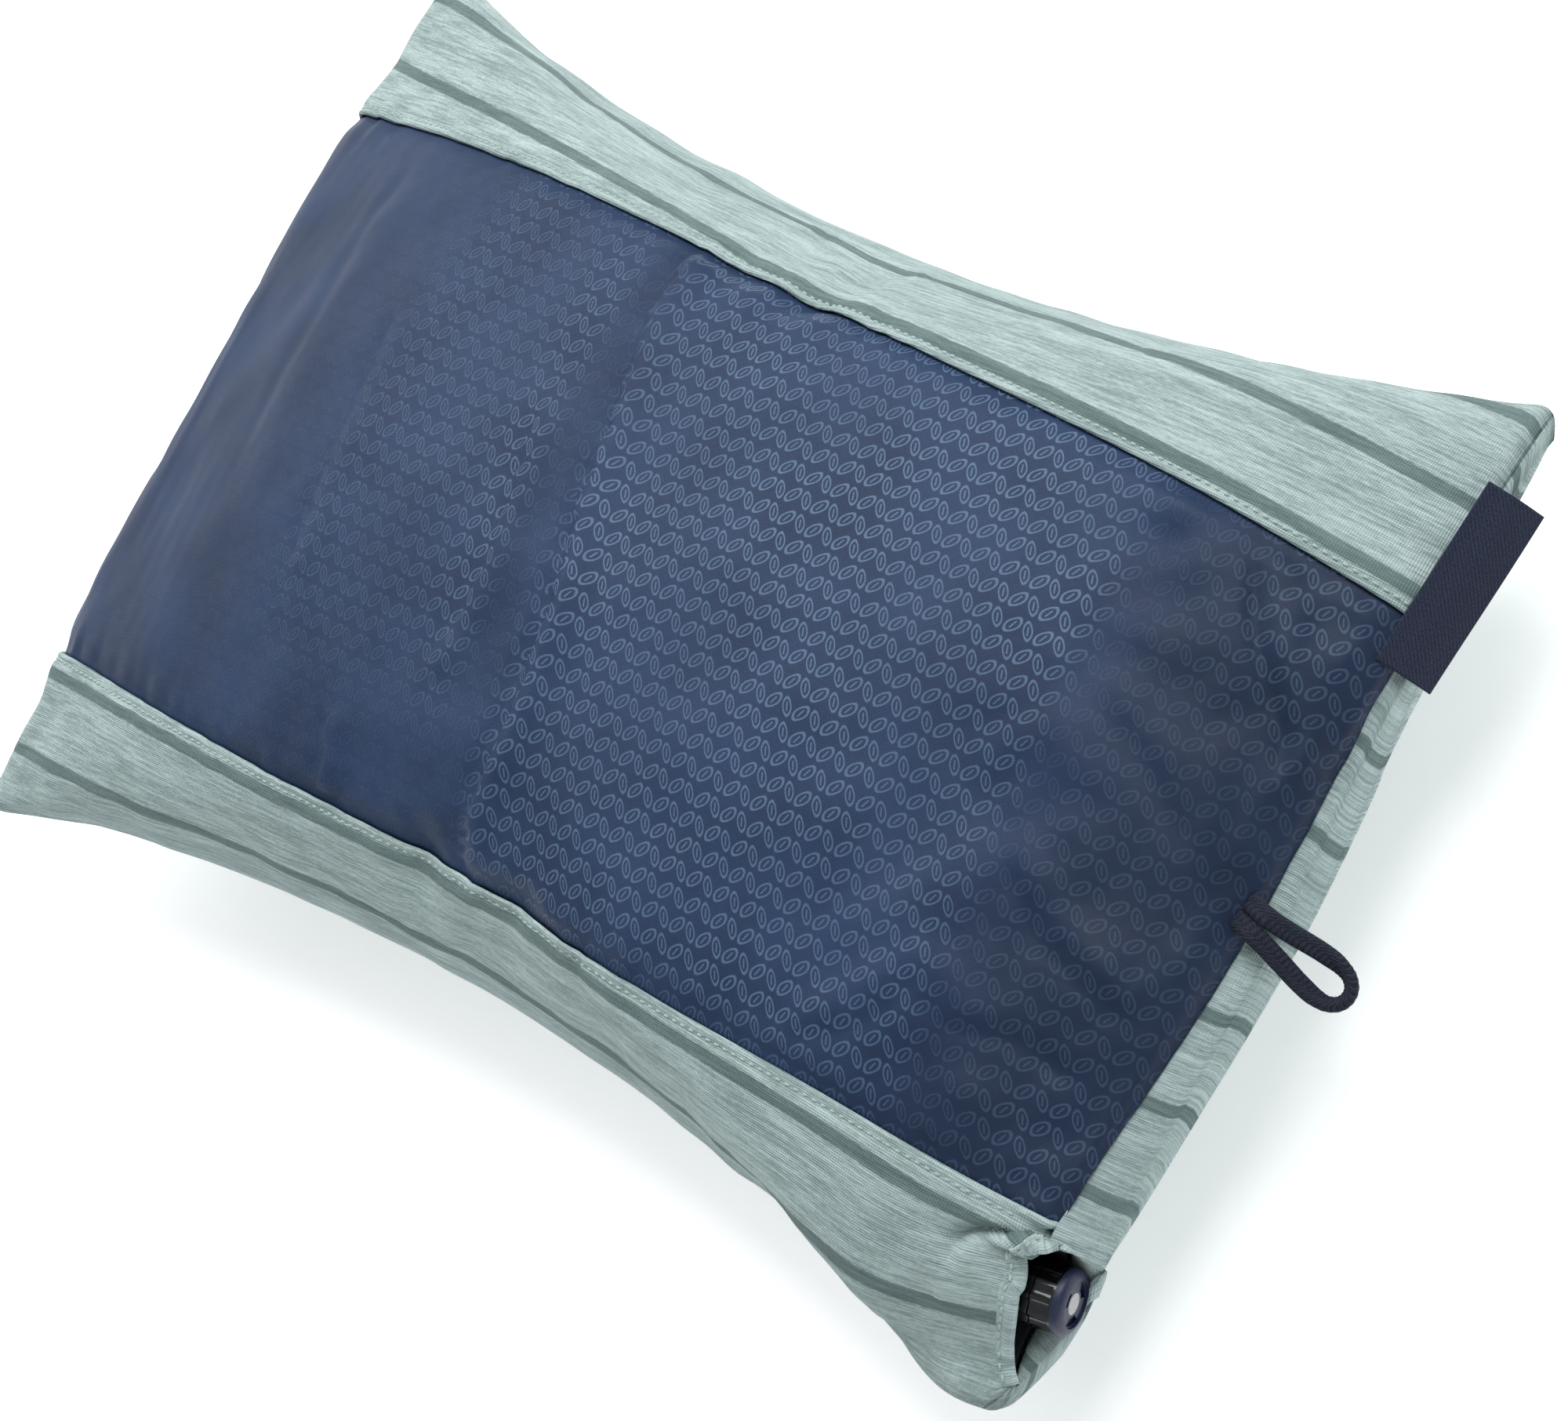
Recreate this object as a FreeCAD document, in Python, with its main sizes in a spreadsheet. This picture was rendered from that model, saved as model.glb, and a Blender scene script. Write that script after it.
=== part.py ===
import FreeCAD, Part

# Camp pillow: an air cell and a foam pad in a removable fabric case, with a twist valve, a hang loop and a label.
#
# The pillow lies on its sleeping face, so the woven pocket panel is on top. X runs along its length, towards
# the end with the valve, Y across its width and Z up. The origin is on the surface that it rests on, under the
# middle of the pillow. Sizes are in millimetres.
#
# Every soft layer is cut from a "form": a loft through ellipses across X, wide at the two ends, pulled in at the
# waist and thick in the middle. Forms nest inside each other by an inset, and a floor plane flattens them.
# A form is split lengthwise only along the plane through the middles of its ellipses, which is its parting line.

import os

from FreeCAD import Placement, Rotation, Vector

SIZES = {
    # the case
    "half_length": 215,
    "half_width": 142,        # at the two ends
    "waist_pull": 25,         # how far each long side pulls in at the middle
    "half_thickness": 52,
    "edge_height": 4,         # half the height of the folded edge at each end
    "mid_height": 48,         # the height of that edge above the floor
    "fabric": 1.0,
    "seam_y": 88.5,           # half the width of the pocket panel
    "end_hem_x": 208,         # where the pocket panel stops, short of the valve end
    "mouth_width": 7,         # the facing that shows at the open end
    "flap_depth": 45,         # how far the facing turns in
    "flap_gap": 0.3,
    "thread": 0.5,
    "thread_from_seam": 2.2,
    # the foam and the air cell
    "core_inset": 2.6,
    "cell_mid": 54,           # the height of the air cell's weld above the floor
    "cell_half_thickness": 41,
    "cell_inset_x": 26,
    "cell_inset_y": 25,
    "cell_edge": 4,
    "film": 0.6,
    "weld_width": 7,
    "clearance": 0.4,
    "baffle_pitch": 44,
    "baffle_length": 280,
    "baffle_flange": 12,
    # the valve, along its own axis, from the cap's face at 0 inwards
    "valve_x": 209.4,
    "valve_y": -107,
    "valve_z": 42.8,
    "valve_yaw": 10.6,
    "valve_dip": 13.4,
    "cap_radius": 8.6,
    "cap_height": 3.1,
    "cap_round": 2.4,
    "cap_web": 2.4,
    "grip_radius": 8.4,
    "grip_length": 5.9,
    "cap_bore": 7.18,
    "cap_recess": 0.7,
    "slot_radius": 4.6,
    "slot_width": 2.2,
    "disc_radius": 2.8,
    "ring_height": 1.4,
    "neck_radius": 7.1,
    "neck_top": 4.4,
    "barrel_radius": 8.4,
    "barrel_top": 9.4,
    "barrel_end": 22,
    "flute_radius": 3.4,
    "flute_depth": 0.6,
    "air_bore": 3.6,
    "flange_radius": 9.2,
    "flange_thickness": 1.8,
    "socket_depth": 5,
    # the port in the case that the valve comes out of
    "port_x": 190.5,
    "port_length": 8,
    "port_y": -113.4,
    "port_z": 43,
    "port_tilt": 40,
    "port_radius": 11,
    "port_spread": 16,        # between the centres of the port's two round ends
    "port_wall": 1.3,
    "port_hem": 3,
    # the hang loop and the label
    "loop_x": 211,
    "loop_y": -4.7,
    "loop_z": 61.7,
    "loop_dip": 30,
    "loop_yaw": -12.8,
    "loop_root": 4,
    "loop_reach": 25,         # from the hem to the middle of the loop's round end
    "loop_radius": 8.2,
    "gap_radius": 1.3,
    "eye_radius": 2.8,
    "braid_thickness": 3.4,
    "label_x": 212,
    "label_y": 90,
    "label_z": 58.1,
    "label_yaw": -5,
    "label_dip": 45,
    "label_length": 51,
    "label_reach": 13,
    "label_thickness": 1.2,
}
STATIONS = (0, 0.3, 0.55, 0.75, 0.88, 0.96, 1)  # shares of a form's half length
FAR = 400  # longer than the pillow is, for the boxes that cut it
BAFFLES = 4
FLUTES = 12

doc = FreeCAD.newDocument("camp_pillow")
sheet = doc.addObject("Spreadsheet::Sheet", "sizes")
for row, (alias, value) in enumerate(SIZES.items(), start=1):
    sheet.set(f"A{row}", alias)
    sheet.set(f"B{row}", str(value))
    sheet.setAlias(f"B{row}", alias)
doc.recompute()


def size(alias):
    """The value of a cell, for what has no property to bind."""
    return float(sheet.get(alias))


def cells(expression):
    """The expression as FreeCAD reads it, with sizes. put in front of each alias."""
    parts = []
    word = ""
    for letter in f"{expression} ":
        if letter.isalnum() or letter == "_":
            word += letter
            continue
        parts.append(f"sizes.{word}" if word in SIZES else word)
        parts.append(letter)
        word = ""
    return "".join(parts).strip()


def bind(obj, **expressions):
    """Binds properties of an object to expressions."""
    for name, expression in expressions.items():
        obj.setExpression(name, cells(expression))
    return obj


def at(obj, x="0", y="0", z="0"):
    """Binds the place of an object's origin."""
    for axis, expression in (("x", x), ("y", y), ("z", z)):
        obj.setExpression(f".Placement.Base.{axis}", cells(expression))
    return obj


def box(name, x, y, z):
    """A box between two expressions along each axis."""
    made = doc.addObject("Part::Box", name)
    bind(made, Length=f"({x[1]}) - ({x[0]})", Width=f"({y[1]}) - ({y[0]})", Height=f"({z[1]}) - ({z[0]})")
    return at(made, x[0], y[0], z[0])


def cut(name, base, tool):
    made = doc.addObject("Part::Cut", name)
    made.Base, made.Tool = base, tool
    return made


def common(name, base, tool):
    made = doc.addObject("Part::Common", name)
    made.Base, made.Tool = base, tool
    return made


def fuse(name, *shapes):
    made = doc.addObject("Part::MultiFuse", name)
    made.Shapes = list(shapes)
    return made


# ---------------------------------------------------------------- forms


def stations():
    """The stations from one end of a form to the other."""
    return [-share for share in reversed(STATIONS[1:])] + list(STATIONS)


def form(name, inset, mid="mid_height", half_height="half_thickness", edge="edge_height", inset_x="0", inset_y="0"):
    """A pillow-shaped solid, inset all round and by more along X and Y, and flat where it reaches the floor."""
    ribs = []
    for share in stations():
        along = abs(share)
        rib = doc.addObject("Part::Ellipse", f"{name}_rib")
        rib.Placement = Placement(Vector(), Rotation(Vector(1, 1, 1), 120))
        bind(
            rib,
            MajorRadius=f"half_width - waist_pull * (1 - {along}^2) - ({inset}) - ({inset_y})",
            MinorRadius=f"{edge} + ({half_height} - {edge}) * (1 - {along}^3)^0.75 - ({inset})",
        )
        ribs.append(at(rib, x=f"{share} * (half_length - ({inset}) - ({inset_x}))", z=mid))
    loft = doc.addObject("Part::Loft", f"{name}_loft")
    loft.Sections, loft.Solid, loft.Ruled = ribs, True, False
    floor = box(f"{name}_floor", (-FAR, FAR), (-FAR, FAR), (-FAR, inset))
    return cut(f"{name}_form", loft, floor)


def cell_form(name, deeper):
    """A form of the air cell, inset further by an expression."""
    return form(name, deeper, "cell_mid", "cell_half_thickness", "cell_edge", "cell_inset_x", "cell_inset_y")


case_outer = form("case_outer", "0")
case_inner = form("case_inner", "fabric")
thread_outer = form("thread_outer", "0 - thread")
flap_outer = form("flap_outer", "fabric + flap_gap")
flap_inner = form("flap_inner", "core_inset - flap_gap")
core_outer = form("core_outer", "core_inset")
cell_clear = cell_form("cell_clear", "0 - clearance")
cell_outer = cell_form("cell_outer", "0")
cell_inner = cell_form("cell_inner", "film")
bond_outer = cell_form("bond_outer", "film + 0.1")
bond_inner = cell_form("bond_inner", "2 * film + 0.1")

# ---------------------------------------------------------------- the port


def slot(name, radius, start, end):
    """A bar along the port's own X axis, whose outline is two round ends joined by straight sides."""
    tilt = Rotation(Vector(1, 0, 0), size("port_tilt"))
    across = tilt.multVec(Vector(0, 1, 0))
    pieces = []
    for side in (-1, 1):
        half = f"{side} * port_spread / 2"
        round_end = doc.addObject("Part::Cylinder", f"{name}_round")
        round_end.Placement = Placement(Vector(), Rotation(Vector(0, 1, 0), 90))
        bind(round_end, Radius=radius, Height=f"({end}) - ({start})")
        at(round_end, f"port_x + {start}", f"port_y + {across.y} * {half}", f"port_z + {across.z} * {half}")
        pieces.append(round_end)
    bar = doc.addObject("Part::Box", f"{name}_bar")
    bind(bar, Length=f"({end}) - ({start})", Width="port_spread", Height=f"2 * ({radius})")
    bar.Placement = Placement(Vector(), tilt)
    corner_y = f"port_y - {across.y} * port_spread / 2 + {across.z} * ({radius})"
    corner_z = f"port_z - {across.z} * port_spread / 2 - {across.y} * ({radius})"
    at(bar, f"port_x + {start}", corner_y, corner_z)
    return fuse(name, *pieces, bar)


port_outside = slot("port_outside", "port_radius + 2 * port_wall", "0", "port_length")
port_inside = slot("port_inside", "port_radius", "0 - 1", FAR)
port_sleeve = slot("port_sleeve", "port_radius + port_wall - 0.2", "0", "port_length")
port_rim = slot("port_rim", "port_radius + 2 * port_wall - 0.2", "port_length - port_hem", "port_length")
port_hem = cut("valve_port_hem", fuse("port_sleeve_and_rim", port_sleeve, port_rim), port_inside)

# ---------------------------------------------------------------- the valve's axis

VALVE_TURN = Rotation(Vector(0, 0, 1), size("valve_yaw")) * Rotation(Vector(0, 1, 0), 90 + size("valve_dip"))


def on_valve(obj, depth="0", spin=0, out="0"):
    """Puts an object on the valve's axis, in from the cap's face by a depth, turned about it and out from it."""
    axis = VALVE_TURN.multVec(Vector(0, 0, 1))
    turn = VALVE_TURN * Rotation(Vector(0, 0, 1), spin)
    side = turn.multVec(Vector(1, 0, 0))
    obj.Placement = Placement(Vector(), turn)
    x = f"valve_x - {axis.x} * ({depth}) + {side.x} * ({out})"
    y = f"valve_y - {axis.y} * ({depth}) + {side.y} * ({out})"
    z = f"valve_z - {axis.z} * ({depth}) + {side.z} * ({out})"
    return at(obj, x, y, z)


def round_bar(name, radius, start, end, spin=0, out="0"):
    """A cylinder along the valve's axis from one depth to a greater one."""
    made = doc.addObject("Part::Cylinder", name)
    bind(made, Radius=radius, Height=f"({end}) - ({start})")
    return on_valve(made, end, spin, out)


valve_room = round_bar("valve_room", "cap_radius + 1", "0 - 20", "barrel_end + socket_depth")

# ---------------------------------------------------------------- the case

shell = cut("case_shell", case_outer, case_inner)
panel_y = ("0 - seam_y", "seam_y")
upper_z = ("mid_height", FAR)
window = box("window", (-FAR, "end_hem_x"), panel_y, upper_z)
mouth = box("mouth", (-FAR, "mouth_width - half_length"), panel_y, (0, FAR))
pocket_panel = cut("pocket_panel", common("panel_with_mouth", shell, window), mouth)

top_layer = ("mid_height - edge_height", FAR)
port_corner = box("port_corner", ("port_x + port_length - 1", FAR), (-FAR, "port_y + 23"), top_layer)
openings = fuse("case_openings", window, mouth, port_corner, port_outside, valve_room)
jersey_case = cut("jersey_case", shell, openings)

facing_edge = common("facing_edge", cut("facing_wall", case_outer, flap_inner), mouth)
flap_x = ("mouth_width - half_length - 1", "flap_depth - half_length")
facing_flap = common("facing_flap", cut("flap_wall", flap_outer, flap_inner), box("flap_zone", flap_x, panel_y, upper_z))
mouth_facing = fuse("mouth_facing", facing_edge, facing_flap)

ridge = cut("thread_ridge", thread_outer, case_outer)
thread_x = ("10 + mouth_width - half_length", "end_hem_x - 8")
thread_low = "seam_y + thread_from_seam"
thread_high = f"{thread_low} + 2 * thread"
far_thread = common("far_seam_thread", ridge, box("far_strip", thread_x, (thread_low, thread_high), upper_z))
near_y = (f"0 - ({thread_high})", f"0 - ({thread_low})")
near_thread = common("near_seam_thread", ridge, box("near_strip", thread_x, near_y, upper_z))

# ---------------------------------------------------------------- the foam and the air cell

valve_notch = box("valve_notch", ("port_x - 12", FAR), (-FAR, "port_y + 23"), (0, FAR))
below_middle = box("below_middle", (-FAR, FAR), (-FAR, FAR), (0, "mid_height"))
foam_half = common("foam_half", core_outer, below_middle)
foam_pad = cut("foam_pad", foam_half, fuse("foam_hollows", cell_clear, valve_notch))

cell_wall = cut("cell_wall", cut("cell_shell", cell_outer, cell_inner), valve_notch)
above_weld = box("above_weld", (-FAR, FAR), (-FAR, FAR), ("cell_mid", FAR))
below_weld = box("below_weld", (-FAR, FAR), (-FAR, FAR), (0, "cell_mid"))
upper_film = common("air_cell_upper_film", cell_wall, above_weld)
lower_film = common("air_cell_lower_film", cell_wall, below_weld)


def cell_outline(name, wider):
    """The plan of the air cell, set out by an expression, as a plate as thick as the two films together."""
    chords = []
    for share in stations():
        half = f"(half_width - waist_pull * (1 - {abs(share)}^2) - cell_inset_y + {wider})"
        chord = doc.addObject("Part::Line", f"{name}_chord")
        x = f"{share} * (half_length - cell_inset_x + {wider})"
        bind(chord, X1=x, X2=x, Y1=f"0 - {half}", Y2=half, Z1="cell_mid - film", Z2="cell_mid - film")
        chords.append(chord)
    face = doc.addObject("Part::Loft", f"{name}_face")
    face.Sections, face.Solid, face.Ruled = chords, False, False
    plate = doc.addObject("Part::Extrusion", name)
    plate.Base, plate.DirMode, plate.Dir = face, "Custom", Vector(0, 0, 1)
    return bind(plate, LengthFwd="2 * film")


weld_frame = cut("weld_frame", cell_outline("weld_outside", "weld_width"), cell_outline("weld_inside", "0.05"))
weld_rim = cut("air_cell_weld_rim", weld_frame, valve_notch)

bond_wall = cut("bond_wall", bond_outer, bond_inner)


def baffle(number):
    """One I-beam baffle: an upright web with a flange welded to each film."""
    y = f"baffle_pitch * {number - (BAFFLES - 1) / 2}"
    along = ("0 - baffle_length / 2", "baffle_length / 2")
    web_box = box(f"web_{number}_box", along, (f"{y} - film / 2", f"{y} + film / 2"), (0, FAR))
    flange_y = (f"{y} - baffle_flange / 2", f"{y} + baffle_flange / 2")
    flange_box = box(f"flange_{number}_box", along, flange_y, (0, FAR))
    web = common(f"web_{number}", bond_outer, web_box)
    return fuse(f"baffle_{number + 1}", web, common(f"flanges_{number}", bond_wall, flange_box))


baffles = [baffle(number) for number in range(BAFFLES)]

# ---------------------------------------------------------------- the valve

socket_end = "barrel_end + socket_depth"
flange_plate = round_bar("flange_plate", "flange_radius", f"{socket_end} - flange_thickness", socket_end)
flange_collar = round_bar("flange_collar", "barrel_radius", "barrel_end + 0.1", socket_end)
flange_socket = round_bar("flange_socket", "neck_radius + 0.02", "barrel_end", f"{socket_end} + 1")
valve_flange = cut("valve_flange", fuse("flange_blank", flange_plate, flange_collar), flange_socket)

barrel_solid = fuse(
    "barrel_solid",
    round_bar("barrel_body", "barrel_radius", "barrel_top", "barrel_end"),
    round_bar("barrel_neck", "neck_radius", "neck_top", "barrel_top + 0.5"),
    round_bar("barrel_root", "neck_radius", "barrel_end - 0.5", socket_end),
)
air_way = round_bar("air_way", "air_bore", "0", f"{socket_end} + 1")


def flutes(name, radius, start, end):
    """Hollows along a round bar on the valve's axis, evenly spaced about it."""
    out = f"{radius} + flute_radius - flute_depth"
    return [round_bar(f"{name}_{turn}", "flute_radius", start, end, 360 / FLUTES * turn, out) for turn in range(FLUTES)]


barrel_flutes = flutes("barrel_flute", "barrel_radius", "barrel_top - 1", "barrel_end + 1")
valve_barrel = cut("valve_barrel", barrel_solid, fuse("barrel_hollows", air_way, *barrel_flutes))


def ring(name, inside, outside, start, end):
    """A ring about the valve's axis between two radii and two depths."""
    hole = round_bar(f"{name}_hole", inside, f"{start} - 1", f"{end} + 1")
    return cut(name, round_bar(f"{name}_disc", outside, start, end), hole)


cap_bar = round_bar("cap_bar", "cap_radius", "0", "cap_height")
doc.recompute()
face_edge = next(
    number
    for number, edge in enumerate(cap_bar.Shape.Edges, start=1)
    if edge.Closed and edge.CenterOfMass.distanceToPoint(Vector(*(size(f"valve_{axis}") for axis in "xyz"))) < 0.01
)
cap_blank = doc.addObject("Part::Fillet", "cap_blank")
cap_blank.Base, cap_blank.Edges = cap_bar, [(face_edge, size("cap_round"), size("cap_round"))]
spokes = [
    round_bar(f"spoke_{number}", "1.2 * slot_width", "0 - 1", "cap_web", 120 * number, "slot_radius")
    for number in range(3)
]
slot_in, slot_out = "slot_radius - slot_width / 2", "slot_radius + slot_width / 2"
face_slots = cut("face_slots", ring("slot_ring", slot_in, slot_out, "0", "cap_web - 0.8"), fuse("spokes", *spokes))
face_recess = round_bar("face_recess", "cap_radius - cap_round", "0 - 1", "cap_recess")
disc_seat = round_bar("disc_seat", "disc_radius + 0.05", "0 - 1", "2 * cap_recess")
cap_hole = round_bar("cap_hole", "cap_bore", "cap_web", "cap_height + 1")
valve_cap = cut("valve_cap", cap_blank, fuse("cap_hollows", face_recess, face_slots, disc_seat, cap_hole))
grip_end = "cap_height + grip_length"
grip_blank = ring("grip_blank", "cap_bore", "grip_radius", "cap_height", grip_end)
grip_flutes = flutes("grip_flute", "grip_radius", "cap_height + 0.6", f"{grip_end} + 1")
grip_ring = cut("cap_grip_ring", grip_blank, fuse("grip_hollows", *grip_flutes))
cap_disc = round_bar("cap_centre_disc", "disc_radius", "cap_recess", "2 * cap_recess")
seal_start = "cap_web + 0.3"
seal_ring = ring("cap_seal_ring", "air_bore + 0.6", "cap_bore - 0.3", seal_start, f"{seal_start} + ring_height")

# ---------------------------------------------------------------- the hang loop and the label


def laid(obj, name, turn, ahead="0", side="0", up="0"):
    """Puts an object in the frame of the loop or the label, whose root is at the cells name_x, name_y and name_z."""
    obj.Placement = Placement(Vector(), turn)
    ways = [turn.multVec(Vector(*way)) for way in ((1, 0, 0), (0, 1, 0), (0, 0, 1))]
    places = []
    for axis, letter in enumerate("xyz"):
        shift = " + ".join(f"{way[axis]} * ({part})" for way, part in zip(ways, (ahead, side, up)))
        places.append(f"{name}_{letter} + {shift}")
    return at(obj, *places)


LOOP_TURN = Rotation(Vector(0, 0, 1), size("loop_yaw")) * Rotation(Vector(0, 1, 0), size("loop_dip"))


def loop_blank(name, radius, start, middle, low, high):
    """A flat bar with a round end, in the plane of the hang loop."""
    bar = doc.addObject("Part::Box", f"{name}_bar")
    bind(bar, Length=f"({middle}) - ({start})", Width=f"2 * {radius}", Height=f"({high}) - ({low})")
    laid(bar, "loop", LOOP_TURN, start, f"0 - {radius}", low)
    end = doc.addObject("Part::Cylinder", f"{name}_end")
    bind(end, Radius=radius, Height=f"({high}) - ({low})")
    laid(end, "loop", LOOP_TURN, middle, "0", low)
    return bar, end


braid_half = "braid_thickness / 2"
loop_outside = fuse("loop_outside", *loop_blank("band", "loop_radius", "0", "loop_reach", f"0 - {braid_half}", braid_half))
gap_bar, gap_end = loop_blank("gap", "gap_radius", "loop_root", "loop_reach", "0 - 5", "5")
eye_bar, eye_end = loop_blank("eye", "eye_radius", "loop_reach - 8", "loop_reach + 1", "0 - 5", "5")
hang_loop = cut("hang_loop", loop_outside, fuse("loop_gap", gap_bar, gap_end, eye_bar, eye_end))

LABEL_TURN = Rotation(Vector(0, 0, 1), size("label_yaw")) * Rotation(Vector(0, 1, 0), size("label_dip"))
label_tab = doc.addObject("Part::Box", "label_tab")
bind(label_tab, Length="label_reach", Width="label_length", Height="label_thickness")
laid(label_tab, "label", LABEL_TURN, "0", "0 - label_length / 2", "0")

# ---------------------------------------------------------------- the parts

NODES = {
    "jersey_case": jersey_case,
    "pocket_panel": pocket_panel,
    "mouth_facing": mouth_facing,
    "valve_port_hem": port_hem,
    "far_seam_thread": far_thread,
    "near_seam_thread": near_thread,
    "hang_loop": hang_loop,
    "label_tab": label_tab,
    "foam_pad": foam_pad,
    "air_cell_upper_film": upper_film,
    "air_cell_lower_film": lower_film,
    "air_cell_weld_rim": weld_rim,
    **{f"baffle_{number + 1}": beam for number, beam in enumerate(baffles)},
    "valve_flange": valve_flange,
    "valve_barrel": valve_barrel,
    "valve_cap": valve_cap,
    "cap_grip_ring": grip_ring,
    "cap_centre_disc": cap_disc,
    "cap_seal_ring": seal_ring,
}
for node, made in NODES.items():
    made.Label = node
doc.recompute()
for made in doc.Objects:
    if "Invalid" in made.State or "Error" in made.State:
        raise RuntimeError(f"{made.Label} did not build")
os.makedirs("parts", exist_ok=True)
for node, made in NODES.items():
    if made.Shape.isNull() or not made.Shape.isValid():
        raise RuntimeError(f"{node} is not a valid shape")
    made.Shape.exportStep(f"parts/{node}.step")
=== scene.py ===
import math

import bmesh
import bpy
import numpy as np
from mathutils import Matrix, Vector


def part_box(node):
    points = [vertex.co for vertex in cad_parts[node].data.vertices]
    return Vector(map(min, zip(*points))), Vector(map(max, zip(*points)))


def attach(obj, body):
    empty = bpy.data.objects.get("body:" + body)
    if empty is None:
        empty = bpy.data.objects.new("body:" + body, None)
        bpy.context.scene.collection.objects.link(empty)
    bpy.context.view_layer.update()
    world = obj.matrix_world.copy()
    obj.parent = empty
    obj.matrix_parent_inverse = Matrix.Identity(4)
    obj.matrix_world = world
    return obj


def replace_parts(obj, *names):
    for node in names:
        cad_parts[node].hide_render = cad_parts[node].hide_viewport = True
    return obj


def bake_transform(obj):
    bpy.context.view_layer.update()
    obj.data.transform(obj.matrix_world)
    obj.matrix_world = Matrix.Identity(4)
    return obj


# The looks of a camp pillow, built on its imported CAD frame, in metres.
#
# The case is one closed skin, held as a grid of columns along the length and a ring of rows about it: up
# the top layer from the near side to the far side, then back along the bottom layer. It starts from the CAD
# form, is blown up as cloth, and is then cut into the sewn panels. "u" is the distance along the cloth from
# the open end and "w" the distance across a layer from the near side.

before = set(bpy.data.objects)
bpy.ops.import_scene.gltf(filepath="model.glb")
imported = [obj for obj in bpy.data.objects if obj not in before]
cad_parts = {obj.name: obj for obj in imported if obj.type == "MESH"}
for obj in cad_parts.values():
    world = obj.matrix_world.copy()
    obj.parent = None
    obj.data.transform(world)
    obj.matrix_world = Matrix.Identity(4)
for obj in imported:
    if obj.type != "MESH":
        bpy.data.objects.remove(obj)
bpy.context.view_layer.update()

# ---------------------------------------------------------------- camera, light and floor


CAMERA_ANGLES = (86.02, 47.87, -58.22)  # azimuth, elevation and roll, in degrees
CAMERA_DISTANCE = 1.4699
CAMERA_LENS = 125.73                    # mm, on a sensor 36 mm wide


def aim_camera():
    """The camera, rolled about its line of sight, with the pillow a little left of and above the middle."""
    azimuth, elevation, roll = (math.radians(angle) for angle in CAMERA_ANGLES)
    flat = math.cos(elevation)
    back = Vector((math.sin(azimuth) * flat, -math.cos(azimuth) * flat, math.sin(elevation)))
    level = Vector((math.cos(azimuth), math.sin(azimuth), 0))
    up = back.cross(level)
    right = level * math.cos(roll) + up * math.sin(roll)
    up = back.cross(right)
    centre = Vector((0, 0, 0.045))
    place = centre + back * CAMERA_DISTANCE
    aim = centre + right * 0.01995 - up * 0.0214
    back = (place - aim).normalized()
    right = (right - back * right.dot(back)).normalized()
    up = back.cross(right)
    data = bpy.data.cameras.new("camera")
    data.sensor_width = 36
    data.lens = CAMERA_LENS
    data.clip_end = 20
    camera = bpy.data.objects.new("camera", data)
    turn = Matrix((right, up, back)).transposed().to_4x4()
    camera.matrix_world = Matrix.Translation(place) @ turn
    bpy.context.scene.collection.objects.link(camera)
    bpy.context.scene.camera = camera


def softbox(name, place, width, height, watts):
    """An area light that faces the middle of the pillow."""
    data = bpy.data.lights.new(name, "AREA")
    data.shape, data.size, data.size_y, data.energy = "RECTANGLE", width, height, watts
    lamp = bpy.data.objects.new(name, data)
    way = Vector((0, 0, 0.04)) - Vector(place)
    lamp.matrix_world = Matrix.Translation(place) @ way.to_track_quat("-Z", "Y").to_matrix().to_4x4()
    bpy.context.scene.collection.objects.link(lamp)


def light_scene():
    softbox("back_softbox", (-1.5, 0.5, 1.25), 1.5, 1.2, 15)
    softbox("overhead", (0.1, 1.1, 1.9), 1.6, 1.2, 36)
    softbox("front_fill", (1.6, -1.2, 1.3), 1.2, 1.2, 2)
    world = bpy.data.worlds.new("studio")
    world.use_nodes = True
    sky = world.node_tree.nodes["Background"]
    sky.inputs["Color"].default_value = (0.96, 0.98, 1, 1)
    sky.inputs["Strength"].default_value = 0.45
    bpy.context.scene.world = world
    bpy.context.scene.view_settings.view_transform = "Standard"


# ---------------------------------------------------------------- materials


def tone(red, green, blue):
    """A colour given as display values from 0 to 255, as the shader wants it."""
    shares = [v / 255 for v in (red, green, blue)]
    linear = [v / 12.92 if v <= 0.04045 else ((v + 0.055) / 1.055) ** 2.4 for v in shares]
    return (*linear, 1)


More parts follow.
